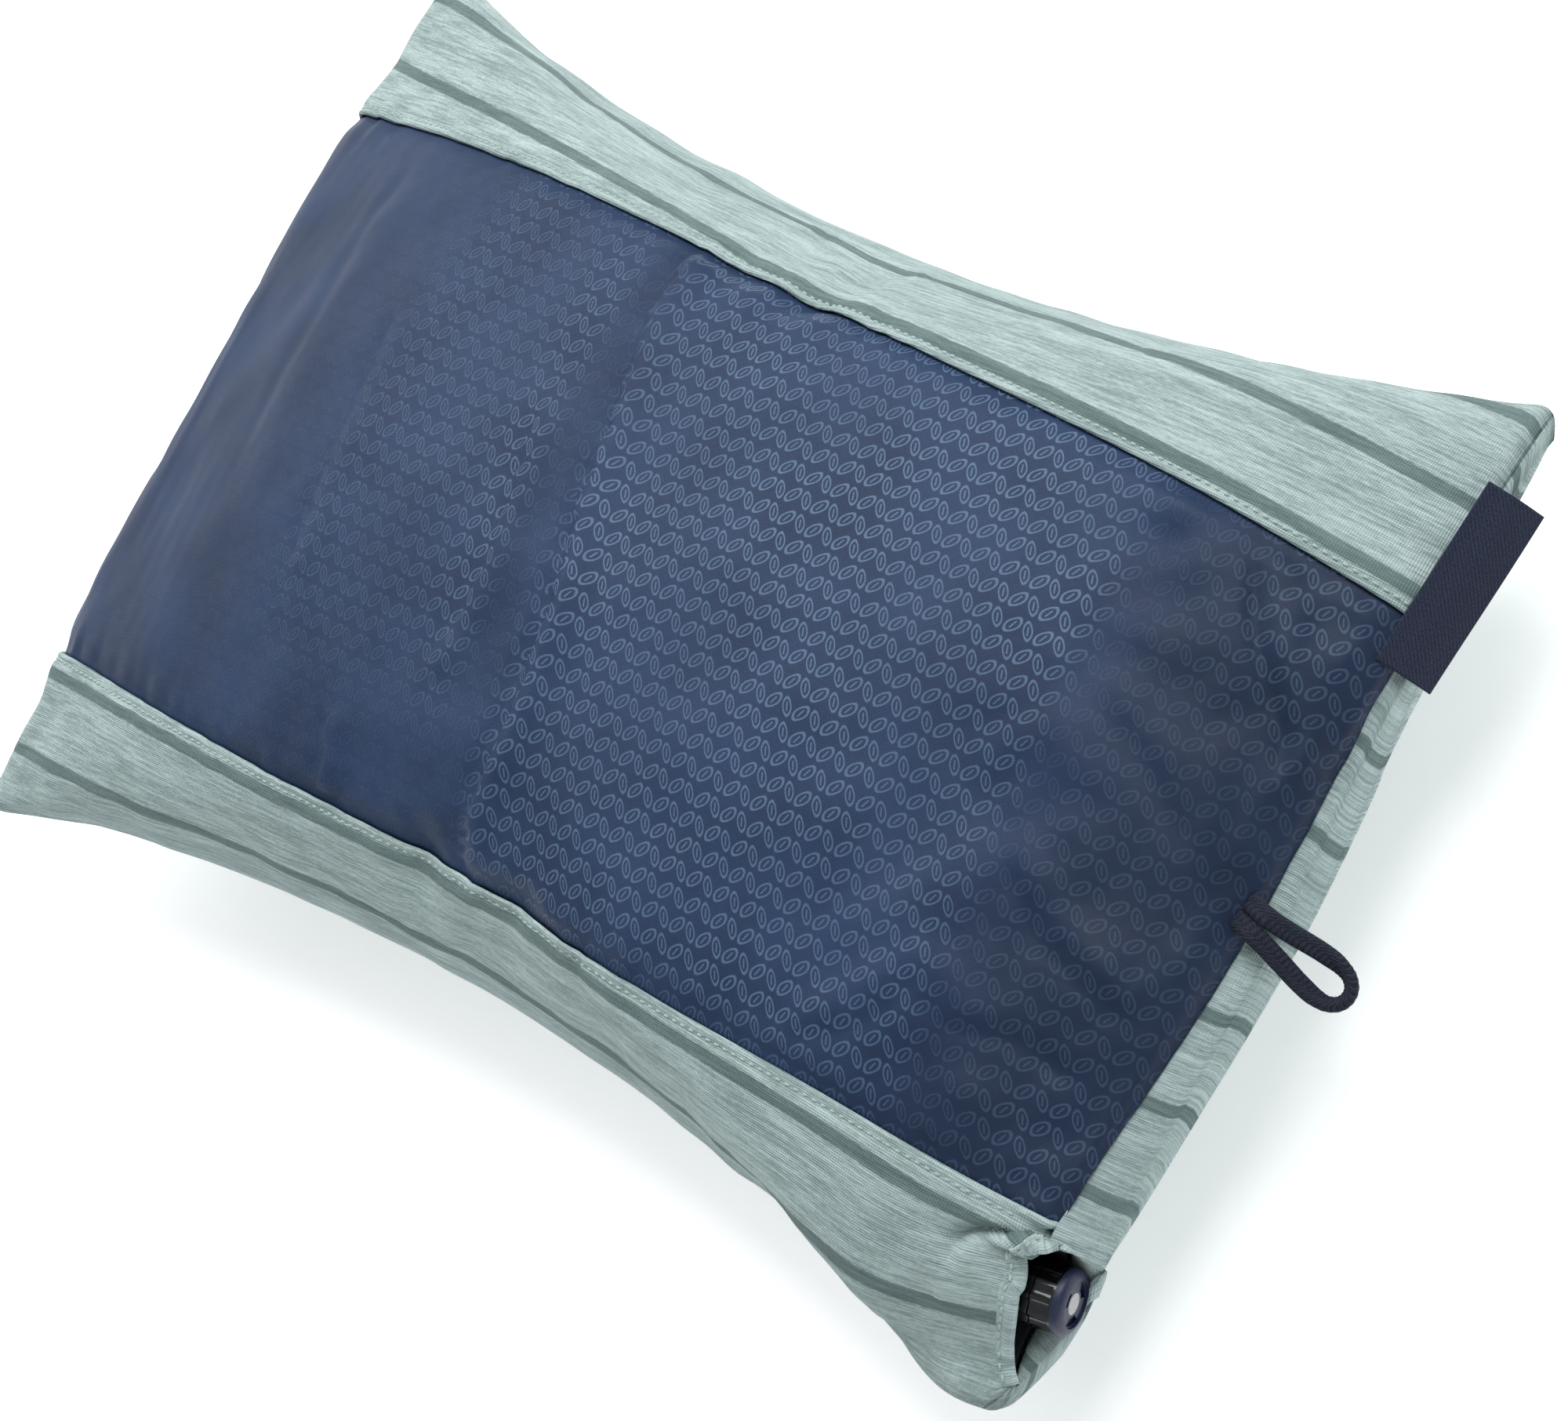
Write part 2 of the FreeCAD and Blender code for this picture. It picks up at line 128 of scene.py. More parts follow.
class Shader:
    """A node material, built up by short calls. Values are sockets or plain numbers."""

    def __init__(self, name, roughness=0.6, specular=0.5, sheen=0.0, coat=0.0):
        self.material = bpy.data.materials.new(name)
        self.material.use_nodes = True
        self.tree = self.material.node_tree
        self.surface = self.tree.nodes["Principled BSDF"]
        for socket, value in (
            ("Roughness", roughness),
            ("Specular IOR Level", specular),
            ("Sheen Weight", sheen),
            ("Sheen Roughness", 0.5),
            ("Coat Weight", coat),
        ):
            self.surface.inputs[socket].default_value = value

    def node(self, kind, values=(), **settings):
        made = self.tree.nodes.new(kind)
        for name, value in settings.items():
            setattr(made, name, value)
        for socket, value in dict(values).items():
            self.put(made.inputs[socket], value)
        return made

    def put(self, socket, value):
        if isinstance(value, bpy.types.NodeSocket):
            self.tree.links.new(value, socket)
        else:
            socket.default_value = value

    def math(self, operation, first, second=0.0, third=0.0):
        made = self.node("ShaderNodeMath", operation=operation)
        for socket, value in zip(made.inputs, (first, second, third)):
            self.put(socket, value)
        return made.outputs[0]

    def times(self, first, second):
        return self.math("MULTIPLY", first, second)

    def cloth(self):
        """The u and w of the cloth in millimetres, and the number of the stripe."""
        coordinates = self.node("ShaderNodeAttribute", attribute_name="cloth").outputs["Vector"]
        return self.node("ShaderNodeSeparateXYZ", {"Vector": coordinates}).outputs

    def value(self, name):
        return self.node("ShaderNodeAttribute", attribute_name=name).outputs["Fac"]

    def noise(self, x, y, z=0.0, detail=2.0, roughness=0.5):
        place = self.node("ShaderNodeCombineXYZ", {"X": x, "Y": y, "Z": z}).outputs[0]
        inputs = {"Vector": place, "Scale": 1.0, "Detail": detail, "Roughness": roughness}
        return self.node("ShaderNodeTexNoise", inputs).outputs["Fac"]

    def step(self, value, low, high):
        """0 below low, 1 above high and smooth between. With low above high it falls instead."""
        made = self.node("ShaderNodeMapRange", interpolation_type="SMOOTHSTEP")
        falls = low > high
        inputs = {"Value": value, "From Min": min(low, high), "From Max": max(low, high)}
        inputs.update({"To Min": float(falls), "To Max": float(not falls)})
        for socket, given in inputs.items():
            self.put(made.inputs[socket], given)
        return made.outputs["Result"]

    def mix(self, share, first, second):
        made = self.node("ShaderNodeMix", data_type="RGBA")
        for socket, value in zip((made.inputs[0], made.inputs[6], made.inputs[7]), (share, first, second)):
            self.put(socket, value)
        return made.outputs[2]

    def colour(self, value):
        self.put(self.surface.inputs["Base Color"], value)

    def rough(self, value):
        self.put(self.surface.inputs["Roughness"], value)

    def bump(self, height, distance):
        made = self.node("ShaderNodeBump", {"Height": height, "Distance": distance})
        self.put(self.surface.inputs["Normal"], made.outputs[0])


STRIPE_HALF = 1.75  # mm


def jersey():
    """Heathered knit: fine streaks along the length, darker stripes, and the small columns of the knit."""
    shader = Shader("jersey", roughness=0.9, specular=0.25, sheen=0.05)
    u, w, stripe = shader.cloth()
    across = shader.times(w, 1.15)
    fine = shader.noise(shader.times(u, 0.07), across, detail=3.0, roughness=0.65)
    broad = shader.noise(shader.times(u, 0.02), shader.times(w, 0.16), 5.0)
    flecks = shader.noise(shader.times(u, 0.5), shader.times(w, 2.2), 9.0)
    heather = shader.math("MULTIPLY_ADD", fine, 0.62, shader.times(broad, 0.28))
    heather = shader.math("MULTIPLY_ADD", flecks, 0.25, heather)
    ground = shader.mix(shader.step(heather, 0.42, 0.74), tone(131, 150, 149), tone(184, 203, 202))
    ink = shader.mix(shader.step(heather, 0.40, 0.78), tone(90, 109, 109), tone(120, 140, 139))
    nearest = shader.math("ABSOLUTE", shader.math("SUBTRACT", stripe, shader.math("ROUND", stripe)))
    ragged = shader.math("MULTIPLY_ADD", flecks, 0.5, shader.times(nearest, 25.0))
    shader.colour(shader.mix(shader.step(ragged, STRIPE_HALF + 0.6, STRIPE_HALF), ground, ink))
    columns = shader.math("SINE", shader.times(u, math.tau / 0.75))
    rows = shader.math("SINE", shader.times(w, math.tau / 0.6))
    knit = shader.math("MULTIPLY_ADD", columns, 0.5, shader.times(rows, 0.5))
    shader.bump(shader.math("MULTIPLY_ADD", fine, 0.8, shader.times(knit, 0.5)), 0.00022)
    return shader.material


PRINT_PITCH = 4.75  # mm between neighbours in a row
PRINT_ROWS = 6.2    # mm between rows


def print_motif(shader, u, w):
    """A lattice of small outlined lozenges that lean to alternate sides, as 1 on a line and 0 off it."""
    row_place = shader.math("DIVIDE", w, PRINT_ROWS)
    row = shader.math("ROUND", row_place)
    half = shader.times(shader.math("FLOORED_MODULO", row, 2.0), 0.5)
    place = shader.math("SUBTRACT", shader.math("DIVIDE", u, PRINT_PITCH), half)
    number = shader.math("ROUND", place)
    x = shader.times(shader.math("SUBTRACT", place, number), PRINT_PITCH)
    y = shader.times(shader.math("SUBTRACT", row_place, row), PRINT_ROWS)
    odd = shader.math("FLOORED_MODULO", shader.math("ADD", number, row), 2.0)
    lean = shader.math("MULTIPLY_ADD", odd, 0.9, -0.45)
    x = shader.math("MULTIPLY_ADD", y, lean, x)
    narrow = shader.math("MULTIPLY_ADD", odd, 0.12, 0.5)
    length = shader.math("POWER", shader.math("ABSOLUTE", shader.times(x, narrow)), 1.7)
    height = shader.math("POWER", shader.math("ABSOLUTE", shader.times(y, 0.4)), 1.7)
    distance = shader.math("POWER", shader.math("ADD", length, height), 0.588)
    outline = shader.step(shader.math("ABSOLUTE", shader.math("SUBTRACT", distance, 0.86)), 0.2, 0.08)
    inside = shader.step(distance, 0.5, 0.4)
    bar = shader.times(shader.step(shader.math("ABSOLUTE", x), 0.34, 0.12), inside)
    return shader.math("MAXIMUM", outline, bar)


def pocket_cloth():
    """Smooth dense woven cloth with a soft sheen and a tone-on-tone print; painted shade darkens its valve
    end, and painted reflection sets how strongly the print shows.
    """
    shader = Shader("pocket_cloth", roughness=0.5, specular=0.2, sheen=0.02)
    u, w, _ = shader.cloth()
    cloud = shader.noise(shader.times(u, 0.03), shader.times(w, 0.03), 2.0)
    grain = shader.noise(shader.times(u, 3.0), shader.times(w, 3.0), 4.0)
    ground = shader.mix(shader.step(cloud, 0.3, 0.7), tone(32, 50, 78), tone(40, 60, 92))
    # Painted shade: the cloth's colour darkens towards the valve end, where less light falls on it.
    painted_shade_end = shader.times(shader.step(u, 0.77 * LENGTH * 1000, 0.93 * LENGTH * 1000), 0.65)
    ground = shader.mix(painted_shade_end, ground, tone(22, 33, 54))
    wear = shader.math("MULTIPLY_ADD", shader.step(grain, 0.35, 0.7), 0.35, 0.65)
    # The print itself is real; how strongly it shows is painted reflection, held in the "print" attribute.
    motif = shader.times(print_motif(shader, u, w), shader.value("print"))
    motif = shader.times(motif, wear)
    shader.colour(shader.mix(motif, ground, tone(92, 116, 144)))
    shader.rough(shader.math("MULTIPLY_ADD", motif, -0.1, shader.math("MULTIPLY_ADD", grain, 0.12, 0.42)))
    weave = shader.math("SINE", shader.times(u, math.tau / 0.45))
    weave = shader.math("ADD", weave, shader.math("SINE", shader.times(w, math.tau / 0.45)))
    shader.bump(shader.math("MULTIPLY_ADD", weave, 0.15, shader.times(grain, 0.6)), 0.00008)
    return shader.material


def plain_cloth(name, dark, light, rib=0.5, roughness=0.8):
    """A woven band or lining: ribs both ways and a little variation of colour."""
    shader = Shader(name, roughness=roughness, specular=0.25, sheen=0.02)
    u, w, _ = shader.cloth()
    grain = shader.noise(shader.times(u, 1.5), shader.times(w, 1.5), 1.0, detail=3.0)
    ribs = shader.math("SINE", shader.times(u, math.tau / rib))
    twill = shader.math("SINE", shader.times(shader.math("ADD", u, w), math.tau / (2 * rib)))
    share = shader.math("MULTIPLY_ADD", ribs, 0.12, shader.math("MULTIPLY_ADD", twill, 0.14, grain))
    shader.colour(shader.mix(shader.step(share, 0.2, 0.85), dark, light))
    shader.bump(share, 0.00012)
    return shader.material


def object_place(shader, scale):
    """Object coordinates in units of 1/scale metres."""
    place = shader.node("ShaderNodeTexCoord").outputs["Object"]
    made = shader.node("ShaderNodeVectorMath", operation="SCALE")
    shader.put(made.inputs[0], place)
    made.inputs["Scale"].default_value = scale
    return made.outputs[0]


def solid_material(name, dark, light, roughness, grain, depth, specular=0.5, coat=0.0):
    """Moulded plastic, film or foam: fine grain in colour, roughness and bump."""
    shader = Shader(name, roughness=roughness, specular=specular, coat=coat)
    inputs = {"Vector": object_place(shader, 1000 / grain), "Scale": 1.0, "Detail": 4.0}
    noise = shader.node("ShaderNodeTexNoise", inputs).outputs["Fac"]
    shader.colour(shader.mix(shader.step(noise, 0.3, 0.7), dark, light))
    shader.rough(shader.math("MULTIPLY_ADD", noise, 0.12, roughness - 0.06))
    shader.bump(noise, depth)
    return shader.material


def floor_material():
    shader = Shader("floor", roughness=0.8, specular=0.1)
    inputs = {"Vector": object_place(shader, 2.0), "Scale": 1.0}
    noise = shader.node("ShaderNodeTexNoise", inputs).outputs["Fac"]
    shader.colour(shader.mix(noise, (0.955, 0.955, 0.955, 1), (0.975, 0.975, 0.975, 1)))
    shader.surface.inputs["Emission Color"].default_value = (1, 1, 1, 1)
    shader.surface.inputs["Emission Strength"].default_value = 0.4
    return shader.material


# ---------------------------------------------------------------- the form and its cloth

HALF_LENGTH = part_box("jersey_case")[1].x
HALF_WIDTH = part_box("jersey_case")[1].y
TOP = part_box("pocket_panel")[1].z
MID = 0.048          # the height of the edge above the floor
WAIST_PULL = 0.025
EDGE = 0.0025        # half the height of each end's edge
CORNER_RADIUS = 0.009
GIRTH = 0.284        # across one layer
LENGTHS = 112        # cells along the cloth's grid
WIDTHS = 70          # cells across a layer of it
RINGS = 2 * WIDTHS


def ramp(value, low, high):
    """Smooth from 0 at low to 1 at high."""
    t = np.clip((value - low) / (high - low), 0, 1)
    return t * t * (3 - 2 * t)


def half_height(share):
    power = 0.75 + 0.13 * ramp(-share, 0.3, 1)
    return EDGE + (TOP - MID - EDGE) * (1 - np.abs(share) ** 3) ** power


def half_width(share):
    """Half the width: pulled in at the waist, and rounded off in plan at the four corners."""
    power = 1.7 if share > 0 else 2
    past = max(0, (abs(share) - 1) * HALF_LENGTH / CORNER_RADIUS + 1)
    return HALF_WIDTH - WAIST_PULL * (1 - abs(share) ** power) - CORNER_RADIUS * (1 - math.sqrt(1 - past**2))


def even_shares():
    """Shares of the half length, spaced evenly along the profile between its crest and its sides."""
    fine = np.linspace(-1, 1, 4001)
    step = np.hypot(np.diff(fine) * HALF_LENGTH, np.diff(0.8 * half_height(fine)))
    along = np.concatenate(([0], np.cumsum(step)))
    return np.interp(np.linspace(0, along[-1], LENGTHS + 1), along, fine), along[-1]


SHARES, LENGTH = even_shares()


def form_ring(share):
    """One ring of the form: up the top layer and back along the bottom one, evenly spaced."""
    wide, high = half_width(share), half_height(share)
    angle = np.linspace(math.pi, 0, 721)
    y, z = wide * np.cos(angle), high * np.sin(angle)
    along = np.concatenate(([0], np.cumsum(np.hypot(np.diff(y), np.diff(z)))))
    want = np.linspace(0, along[-1], WIDTHS + 1)
    y, z = np.interp(want, along, y), np.interp(want, along, z)
    top = np.stack([np.full_like(y, share * HALF_LENGTH), y, MID + z], 1)
    bottom = np.stack([top[:, 0], y, MID - z], 1)[::-1][1:-1]
    return np.concatenate((top, bottom))


def form_grid():
    """The form, with its ends bowed, the valve's out and down, and with the valve filling its own corner."""
    grid = np.array([form_ring(share) for share in SHARES])
    x, y = grid[..., 0], grid[..., 1]
    bow = np.exp(-(((y + 0.015) / 0.065) ** 2)) * ramp(x, HALF_LENGTH - 0.06, HALF_LENGTH)
    corner = np.exp(-(((x - 0.186) / 0.034) ** 2)) * ramp(y, -0.085, -0.128)
    mouth = np.exp(-((y / 0.095) ** 4)) * ramp(-x, HALF_LENGTH - 0.045, HALF_LENGTH)
    grid += bow[..., None] * (0.0024, 0, -0.003) + corner[..., None] * (0, -0.0085, -0.0075)
    grid += mouth[..., None] * (0.0045, 0, 0.0035)
    grid[..., 2] = np.maximum(grid[..., 2], 0)
    return grid


def blown_up(grid):
    """The grid after a pressure cloth simulation whose flat pattern is a plain rectangle for each layer."""
    mirror = (-np.arange(RINGS)) % RINGS
    index = np.arange((LENGTHS + 1) * RINGS).reshape(LENGTHS + 1, RINGS)
    for end in (0, LENGTHS):
        index[end] = index[end][np.minimum(np.arange(RINGS), mirror)]
    used, compact = np.unique(index, return_inverse=True)
    compact = compact.reshape(index.shape)
    points = grid.reshape(-1, 3)[used]
    ring = np.arange(RINGS)
    across = np.where(ring <= WIDTHS, ring, RINGS - ring) / WIDTHS - 0.5
    flat = np.zeros_like(grid)
    flat[..., 0] = (np.linspace(-0.5, 0.5, LENGTHS + 1) * FLAT_LENGTH)[:, None]
    flat[..., 1] = across * FLAT_WIDTH
    flat[..., 2] = MID + np.where(ring < WIDTHS, 1, -1) * 0.0004
    here, ahead = compact[:-1], compact[1:]
    faces = np.stack([here, ahead, np.roll(ahead, -1, 1), np.roll(here, -1, 1)], -1).reshape(-1, 4)
    mesh = bpy.data.meshes.new("cloth_trial")
    mesh.from_pydata(points.tolist(), [], faces.tolist())
    trial = bpy.data.objects.new("cloth_trial", mesh)
    bpy.context.scene.collection.objects.link(trial)
    trial.shape_key_add(name="Basis")
    trial.shape_key_add(name="flat").data.foreach_set("co", flat.reshape(-1, 3)[used].ravel())
    group = trial.vertex_groups.new(name="held")
    group.add(range(len(points)), 0.02, "REPLACE")
    group.add([n for n, point in enumerate(points) if point[2] < 0.0005], 1.0, "REPLACE")
    cloth = trial.modifiers.new("cloth", "CLOTH")
    rules = cloth.settings
    rules.quality, rules.mass, rules.air_damping = 6, 0.15, 2
    rules.tension_stiffness = rules.compression_stiffness = 40
    rules.shear_stiffness, rules.bending_stiffness = 10, 0.5
    rules.tension_damping = rules.compression_damping = rules.shear_damping = 10
    rules.bending_damping = 1
    rules.use_pressure, rules.uniform_pressure_force = True, 3
    rules.vertex_group_mass, rules.pin_stiffness = "held", 1
    rules.rest_shape_key = mesh.shape_keys.key_blocks["flat"]
    rules.effector_weights.gravity = 0
    cloth.collision_settings.use_collision = False
    cloth.point_cache.frame_end = 30
    for number in range(1, 25):
        bpy.context.scene.frame_set(number)
    blown = trial.evaluated_get(bpy.context.evaluated_depsgraph_get()).to_mesh()
    out = np.empty(len(points) * 3)
    blown.vertices.foreach_get("co", out)
    bpy.context.scene.frame_set(1)
    bpy.data.objects.remove(trial)
    return out.reshape(-1, 3)[compact]


FLAT_LENGTH = LENGTH * 1.03
FLAT_WIDTH = GIRTH * 1.012


def padded_ends(grid, count):
    """The grid with columns past each end, read from the other layer, because the skin goes round the end."""
    mirror = (-np.arange(RINGS)) % RINGS
    before = [grid[n][mirror] for n in range(count, 0, -1)]
    after = [grid[LENGTHS - n][mirror] for n in range(1, count + 1)]
    return np.concatenate((before, grid, after))


def smoothed(grid, reach):
    """The grid averaged over a bell of that many cells."""
    count = int(3 * reach)
    weights = np.exp(-0.5 * (np.arange(-count, count + 1) / reach) ** 2)
    weights /= weights.sum()
    tall = padded_ends(grid, count)
    along = sum(w * tall[n : n + LENGTHS + 1] for n, w in enumerate(weights))
    return sum(w * np.roll(along, n - count, 1) for n, w in enumerate(weights))


def skin_grid():
    """The form with the wrinkles of the blown-up cloth, and little of its swelling."""
    grid = form_grid()
    move = blown_up(grid) - grid
    swell = smoothed(move, 5)
    tall = padded_ends(grid, 1)
    out = normals(np.concatenate((tall[:, -1:], tall, tall[:, :1]), 1))[1:-1, 1:-1]
    away = ((move - 0.88 * swell) * out).sum(2, keepdims=True)
    grid = grid + out * np.clip(away, -0.0035, 0.0035)
    grid[..., 2] = np.maximum(grid[..., 2], 0)
    return grid


def curve_weights(t):
    """The four weights of a Catmull-Rom curve at a share t between its middle points."""
    return (
        0.5 * (-t + 2 * t**2 - t**3),
        0.5 * (2 - 5 * t**2 + 3 * t**3),
        0.5 * (t + 4 * t**2 - 3 * t**3),
        0.5 * (-(t**2) + t**3),
    )


def skin_points(grid, u, ring):
    """Points of the skin at distances u along it and at places round the ring, as one smooth surface."""
    tall = padded_ends(grid, 3)
    a = np.clip(u / LENGTH, 0, 1) * LENGTHS
    i, j = np.minimum(np.floor(a).astype(int), LENGTHS - 1), np.floor(ring).astype(int)
    out = 0
    for n, first in enumerate(curve_weights(a - i)):
        for m, second in enumerate(curve_weights(ring - j)):
            out = out + (first * second)[..., None] * tall[i + n + 2, (j + m - 1) % RINGS]
    return out


# ---------------------------------------------------------------- the cutting lines and the fine grid

MOUTH = 0.009        # from the open end to the edge of the pocket panel
STITCH = 0.0024      # from a folded edge to its stitching


def near_seam(u):
    """The w of the seam between the near strip and the pocket panel."""
    x = u / LENGTH * 2 - 1
    return 0.0482 - 0.0015 * x + 0.0022 * x * x + 0.0018 * ramp(x, 0.1, 0.7)


def far_seam(u):
    """The w of the seam between the pocket panel and the far strip."""
    x = u / LENGTH * 2 - 1
    return 0.2335 - 0.0046 * x - 0.0078 * x * x - 0.0026 * ramp(x, -0.1, 0.4)


def hem_depth(w):
    """How far the seam across the valve end lies from the end itself, along the cloth."""
    x = 0.2114 - 0.008 * np.clip((0.25 - w) / 0.205, 0, 1) ** 2.2
    return LENGTH * (1 - np.interp(x / HALF_LENGTH, SHARES, np.linspace(0, 1, LENGTHS + 1)))


def clustered(count, near, far, tight=0.35):
    """Shares from 0 to 1 in count steps, closer together at the ends that are asked for."""
    t = np.linspace(0, 1, count + 1)
    pull = (1 - tight) / math.tau
    if near and far:
        return t - pull * np.sin(math.tau * t)
    if near:
        return tight * t + (1 - tight) * t**2
    if far:
        return 1 - (tight * (1 - t) + (1 - tight) * (1 - t) ** 2)
    return t


ZONE_COLUMNS = (4, 196, 9)   # open end, pocket, wrapped margin
ZONE_ROWS = (26, 86, 26)     # near strip, pocket, far strip
MOUTH_COLUMN = ZONE_COLUMNS[0]
HEM_COLUMN = ZONE_COLUMNS[0] + ZONE_COLUMNS[1]
COLUMNS = sum(ZONE_COLUMNS) + 1
NEAR_ROW = ZONE_ROWS[0]
FAR_ROW = ZONE_ROWS[0] + ZONE_ROWS[1]
ROWS = sum(ZONE_ROWS) + 1


def joined_zones(stops, steps):
    """One array of distances through zones whose limits are arrays."""
    parts = [stops[0][None] * 1.0]
    for start, stop, shares in zip(stops[:-1], stops[1:], steps):
        parts.append(start + (stop - start) * shares[1:, None])
    return np.concatenate(parts)


def cutting_grid():
    """u and w at every column and row of the fine grid."""
    w = np.linspace(0, GIRTH, ROWS)
    for _ in range(4):
        hem = LENGTH - hem_depth(w)
        stops = (np.zeros(ROWS), np.full(ROWS, MOUTH), hem, np.full(ROWS, LENGTH))
        steps = (
            clustered(ZONE_COLUMNS[0], False, False),
            clustered(ZONE_COLUMNS[1], True, True),
            clustered(ZONE_COLUMNS[2], True, False),
        )
        u = joined_zones(stops, steps)
        middle = u[:, ROWS // 2]
        stops = (np.zeros(COLUMNS), near_seam(middle), far_seam(middle), np.full(COLUMNS, GIRTH))
        steps = (
            clustered(ZONE_ROWS[0], False, True),
            clustered(ZONE_ROWS[1], True, True),
            clustered(ZONE_ROWS[2], True, False),
        )
        rows = joined_zones(stops, steps).T
        w = rows[HEM_COLUMN]
    return u, rows


def normals(points):
    """Unit normals of a grid of points."""
    along, across = np.gradient(points, axis=0), np.gradient(points, axis=1)
    out = np.cross(along, across)
    return out / np.maximum(np.linalg.norm(out, axis=2, keepdims=True), 1e-12)


def soft_noise(u, w, size, seed):
    """A smooth random field of about unit size, with lumps of a given size in metres."""
    count = (int(LENGTH / size) + 6, int(GIRTH / size) + 6)
    lattice = np.random.default_rng(seed).normal(size=count)
    a, b = u / size + 1, w / size + 1
    i, j = np.floor(a).astype(int), np.floor(b).astype(int)
    out = 0
    for n, first in enumerate(curve_weights(a - i)):
        for m, second in enumerate(curve_weights(b - j)):
            row = np.clip(i + n - 1, 0, count[0] - 1)
            out = out + first * second * lattice[row, np.clip(j + m - 1, 0, count[1] - 1)]
    return out


def along_line(u, w, points):
    """For each place, the signed distance from a line through points of the cloth, and the share along it."""
    points = np.array(points, float)
    fine = np.linspace(0, 1, 60)
    knots = np.linspace(0, 1, len(points))
    line_u = np.interp(fine, knots, points[:, 0])
    line_w = np.interp(fine, knots, points[:, 1])
    kernel = np.array([1, 2, 3, 2, 1]) / 9
    for _ in range(3):
        line_u[2:-2] = np.convolve(line_u, kernel, "valid")
        line_w[2:-2] = np.convolve(line_w, kernel, "valid")
    gap = (u[..., None] - line_u) ** 2 + (w[..., None] - line_w) ** 2
    nearest = gap.argmin(-1)
    way_u, way_w = np.gradient(line_u), np.gradient(line_w)
    side = (u - line_u[nearest]) * way_w[nearest] - (w - line_w[nearest]) * way_u[nearest]
    return np.sign(side) * np.sqrt(gap.min(-1)), fine[nearest]


def place_on_cloth(x, y):
    """The u and w of a place given by its x and y on the top layer, both in millimetres."""
    share = np.clip(x / 1000 / HALF_LENGTH, -1, 1)
    column = np.interp(share, SHARES, np.arange(LENGTHS + 1))
    ring = form_ring(share)[: WIDTHS + 1]
    return column / LENGTHS * LENGTH, np.interp(y / 1000, ring[:, 1], np.arange(WIDTHS + 1)) / WIDTHS * GIRTH


# Each fold: places along it on the top layer in mm, its height and its width in mm. A fold is a ridge with a
# sharper valley on the side towards the valve end.
FOLDS = (
    (((-32, 84), (-27, 60), (-19, 42), (-11, 12), (-3, -10), (0, -33), (1, -50), (-2, -84)), 3.4, 9),
    (((-44, 36), (-37, 16), (-31, -7), (-31, -32), (-36, -48)), 1.3, 8),
    (((-113, 40), (-112, 28), (-107, 0), (-102, -31), (-100, -42)), 0.9, 10),
    (((-64, -66), (-60, -78), (-61, -89)), 1.2, 6),
    (((172, 78), (183, 59), (199, 39), (203, 28)), 1.8, 9),
    (((155, -16), (173, -31), (186, -36), (199, -40)), 1.6, 9),
    (((158, -62), (176, -56), (196, -58)), 1.1, 8),
    (((150, 30), (172, 20), (196, 2)), 0.9, 10),
    (((120, -84), (140, -70), (152, -48)), 0.8, 9),
    (((-150, 86), (-152, 60), (-148, 20), (-146, -20)), 0.6, 14),
)


def folds(u, w):
    """The height of the pocket panel's soft creases."""
    height = np.zeros_like(u)
    for number, (places, tall, wide) in enumerate(FOLDS):
        side, share = along_line(u, w, [place_on_cloth(*place) for place in places])
        fade = np.minimum(ramp(share, 0, 0.18), ramp(share, 1, 0.85))
        if number == 0:  # the long fold, which stays tall nearly to its ends
            fade = 0.45 + 0.55 * np.sin(math.pi * np.clip(share * 1.05, 0, 1)) ** 0.5
        wide_m = wide / 1000
        ridge = np.exp(-((side + 0.45 * wide_m) / (0.62 * wide_m)) ** 2)
        valley = np.exp(-((side - 0.26 * wide_m) / (0.24 * wide_m)) ** 2)
        height += fade * tall / 1000 * (ridge - valley)
    return height


# ---------------------------------------------------------------- the valve's corner


def between(at, keys, rows):
    """The rows, which belong to the keys, at other keys."""
    return np.stack([np.interp(at, keys, column) for column in rows.T], -1)


def run_of(line):
    """The distance of each point of a line from its start, along the line."""
    return np.concatenate(([0], np.cumsum(np.linalg.norm(np.diff(line, axis=0), axis=1))))


def softened(line, reach):
    """A line of points, averaged over a bell of that many points each way."""
    kernel = np.hanning(2 * reach + 1)
    padded = np.pad(line, ((reach, reach), (0, 0)), mode="reflect", reflect_type="odd")
    return np.stack([np.convolve(column, kernel / kernel.sum(), "valid") for column in padded.T], -1)


def unit(rows):
    return rows / np.maximum(np.linalg.norm(rows, axis=-1, keepdims=True), 1e-12)


def stacked(*parts):
    """Arrays that fit each other, as the parts of one array of points."""
    return np.stack(np.broadcast_arrays(*parts), -1)


def curve_through(points, keys):
    """Places in metres on a soft curve through (key, x, y, z) rows in millimetres, at given keys."""
    rows = np.array(points, float)
    fine = np.linspace(rows[0, 0], rows[-1, 0], 200)
    return between(keys, fine, softened(between(fine, rows[:, 0], rows[:, 1:]), 12)) / 1000


PORT_W = 0.045        # the w at which the opening for the valve starts; it runs from there to the corner
MARGIN_W = 0.11       # the w at which the opening's pull on the wrapped margin ends

# Rows of w in mm, then x, y and z. The hem of the near strip goes over the valve's barrel.
HEM_LINE = (
    (0, 203, -131, 40),
    (6, 200.8, -127.1, 42),
    (12, 200, -122.1, 45.5),
    (19, 202.1, -115.6, 52.6),
    (27, 201.4, -109.8, 55.6),
    (36, 198.2, -101.6, 56.2),
    (45, 206, -97, 57.5),
)
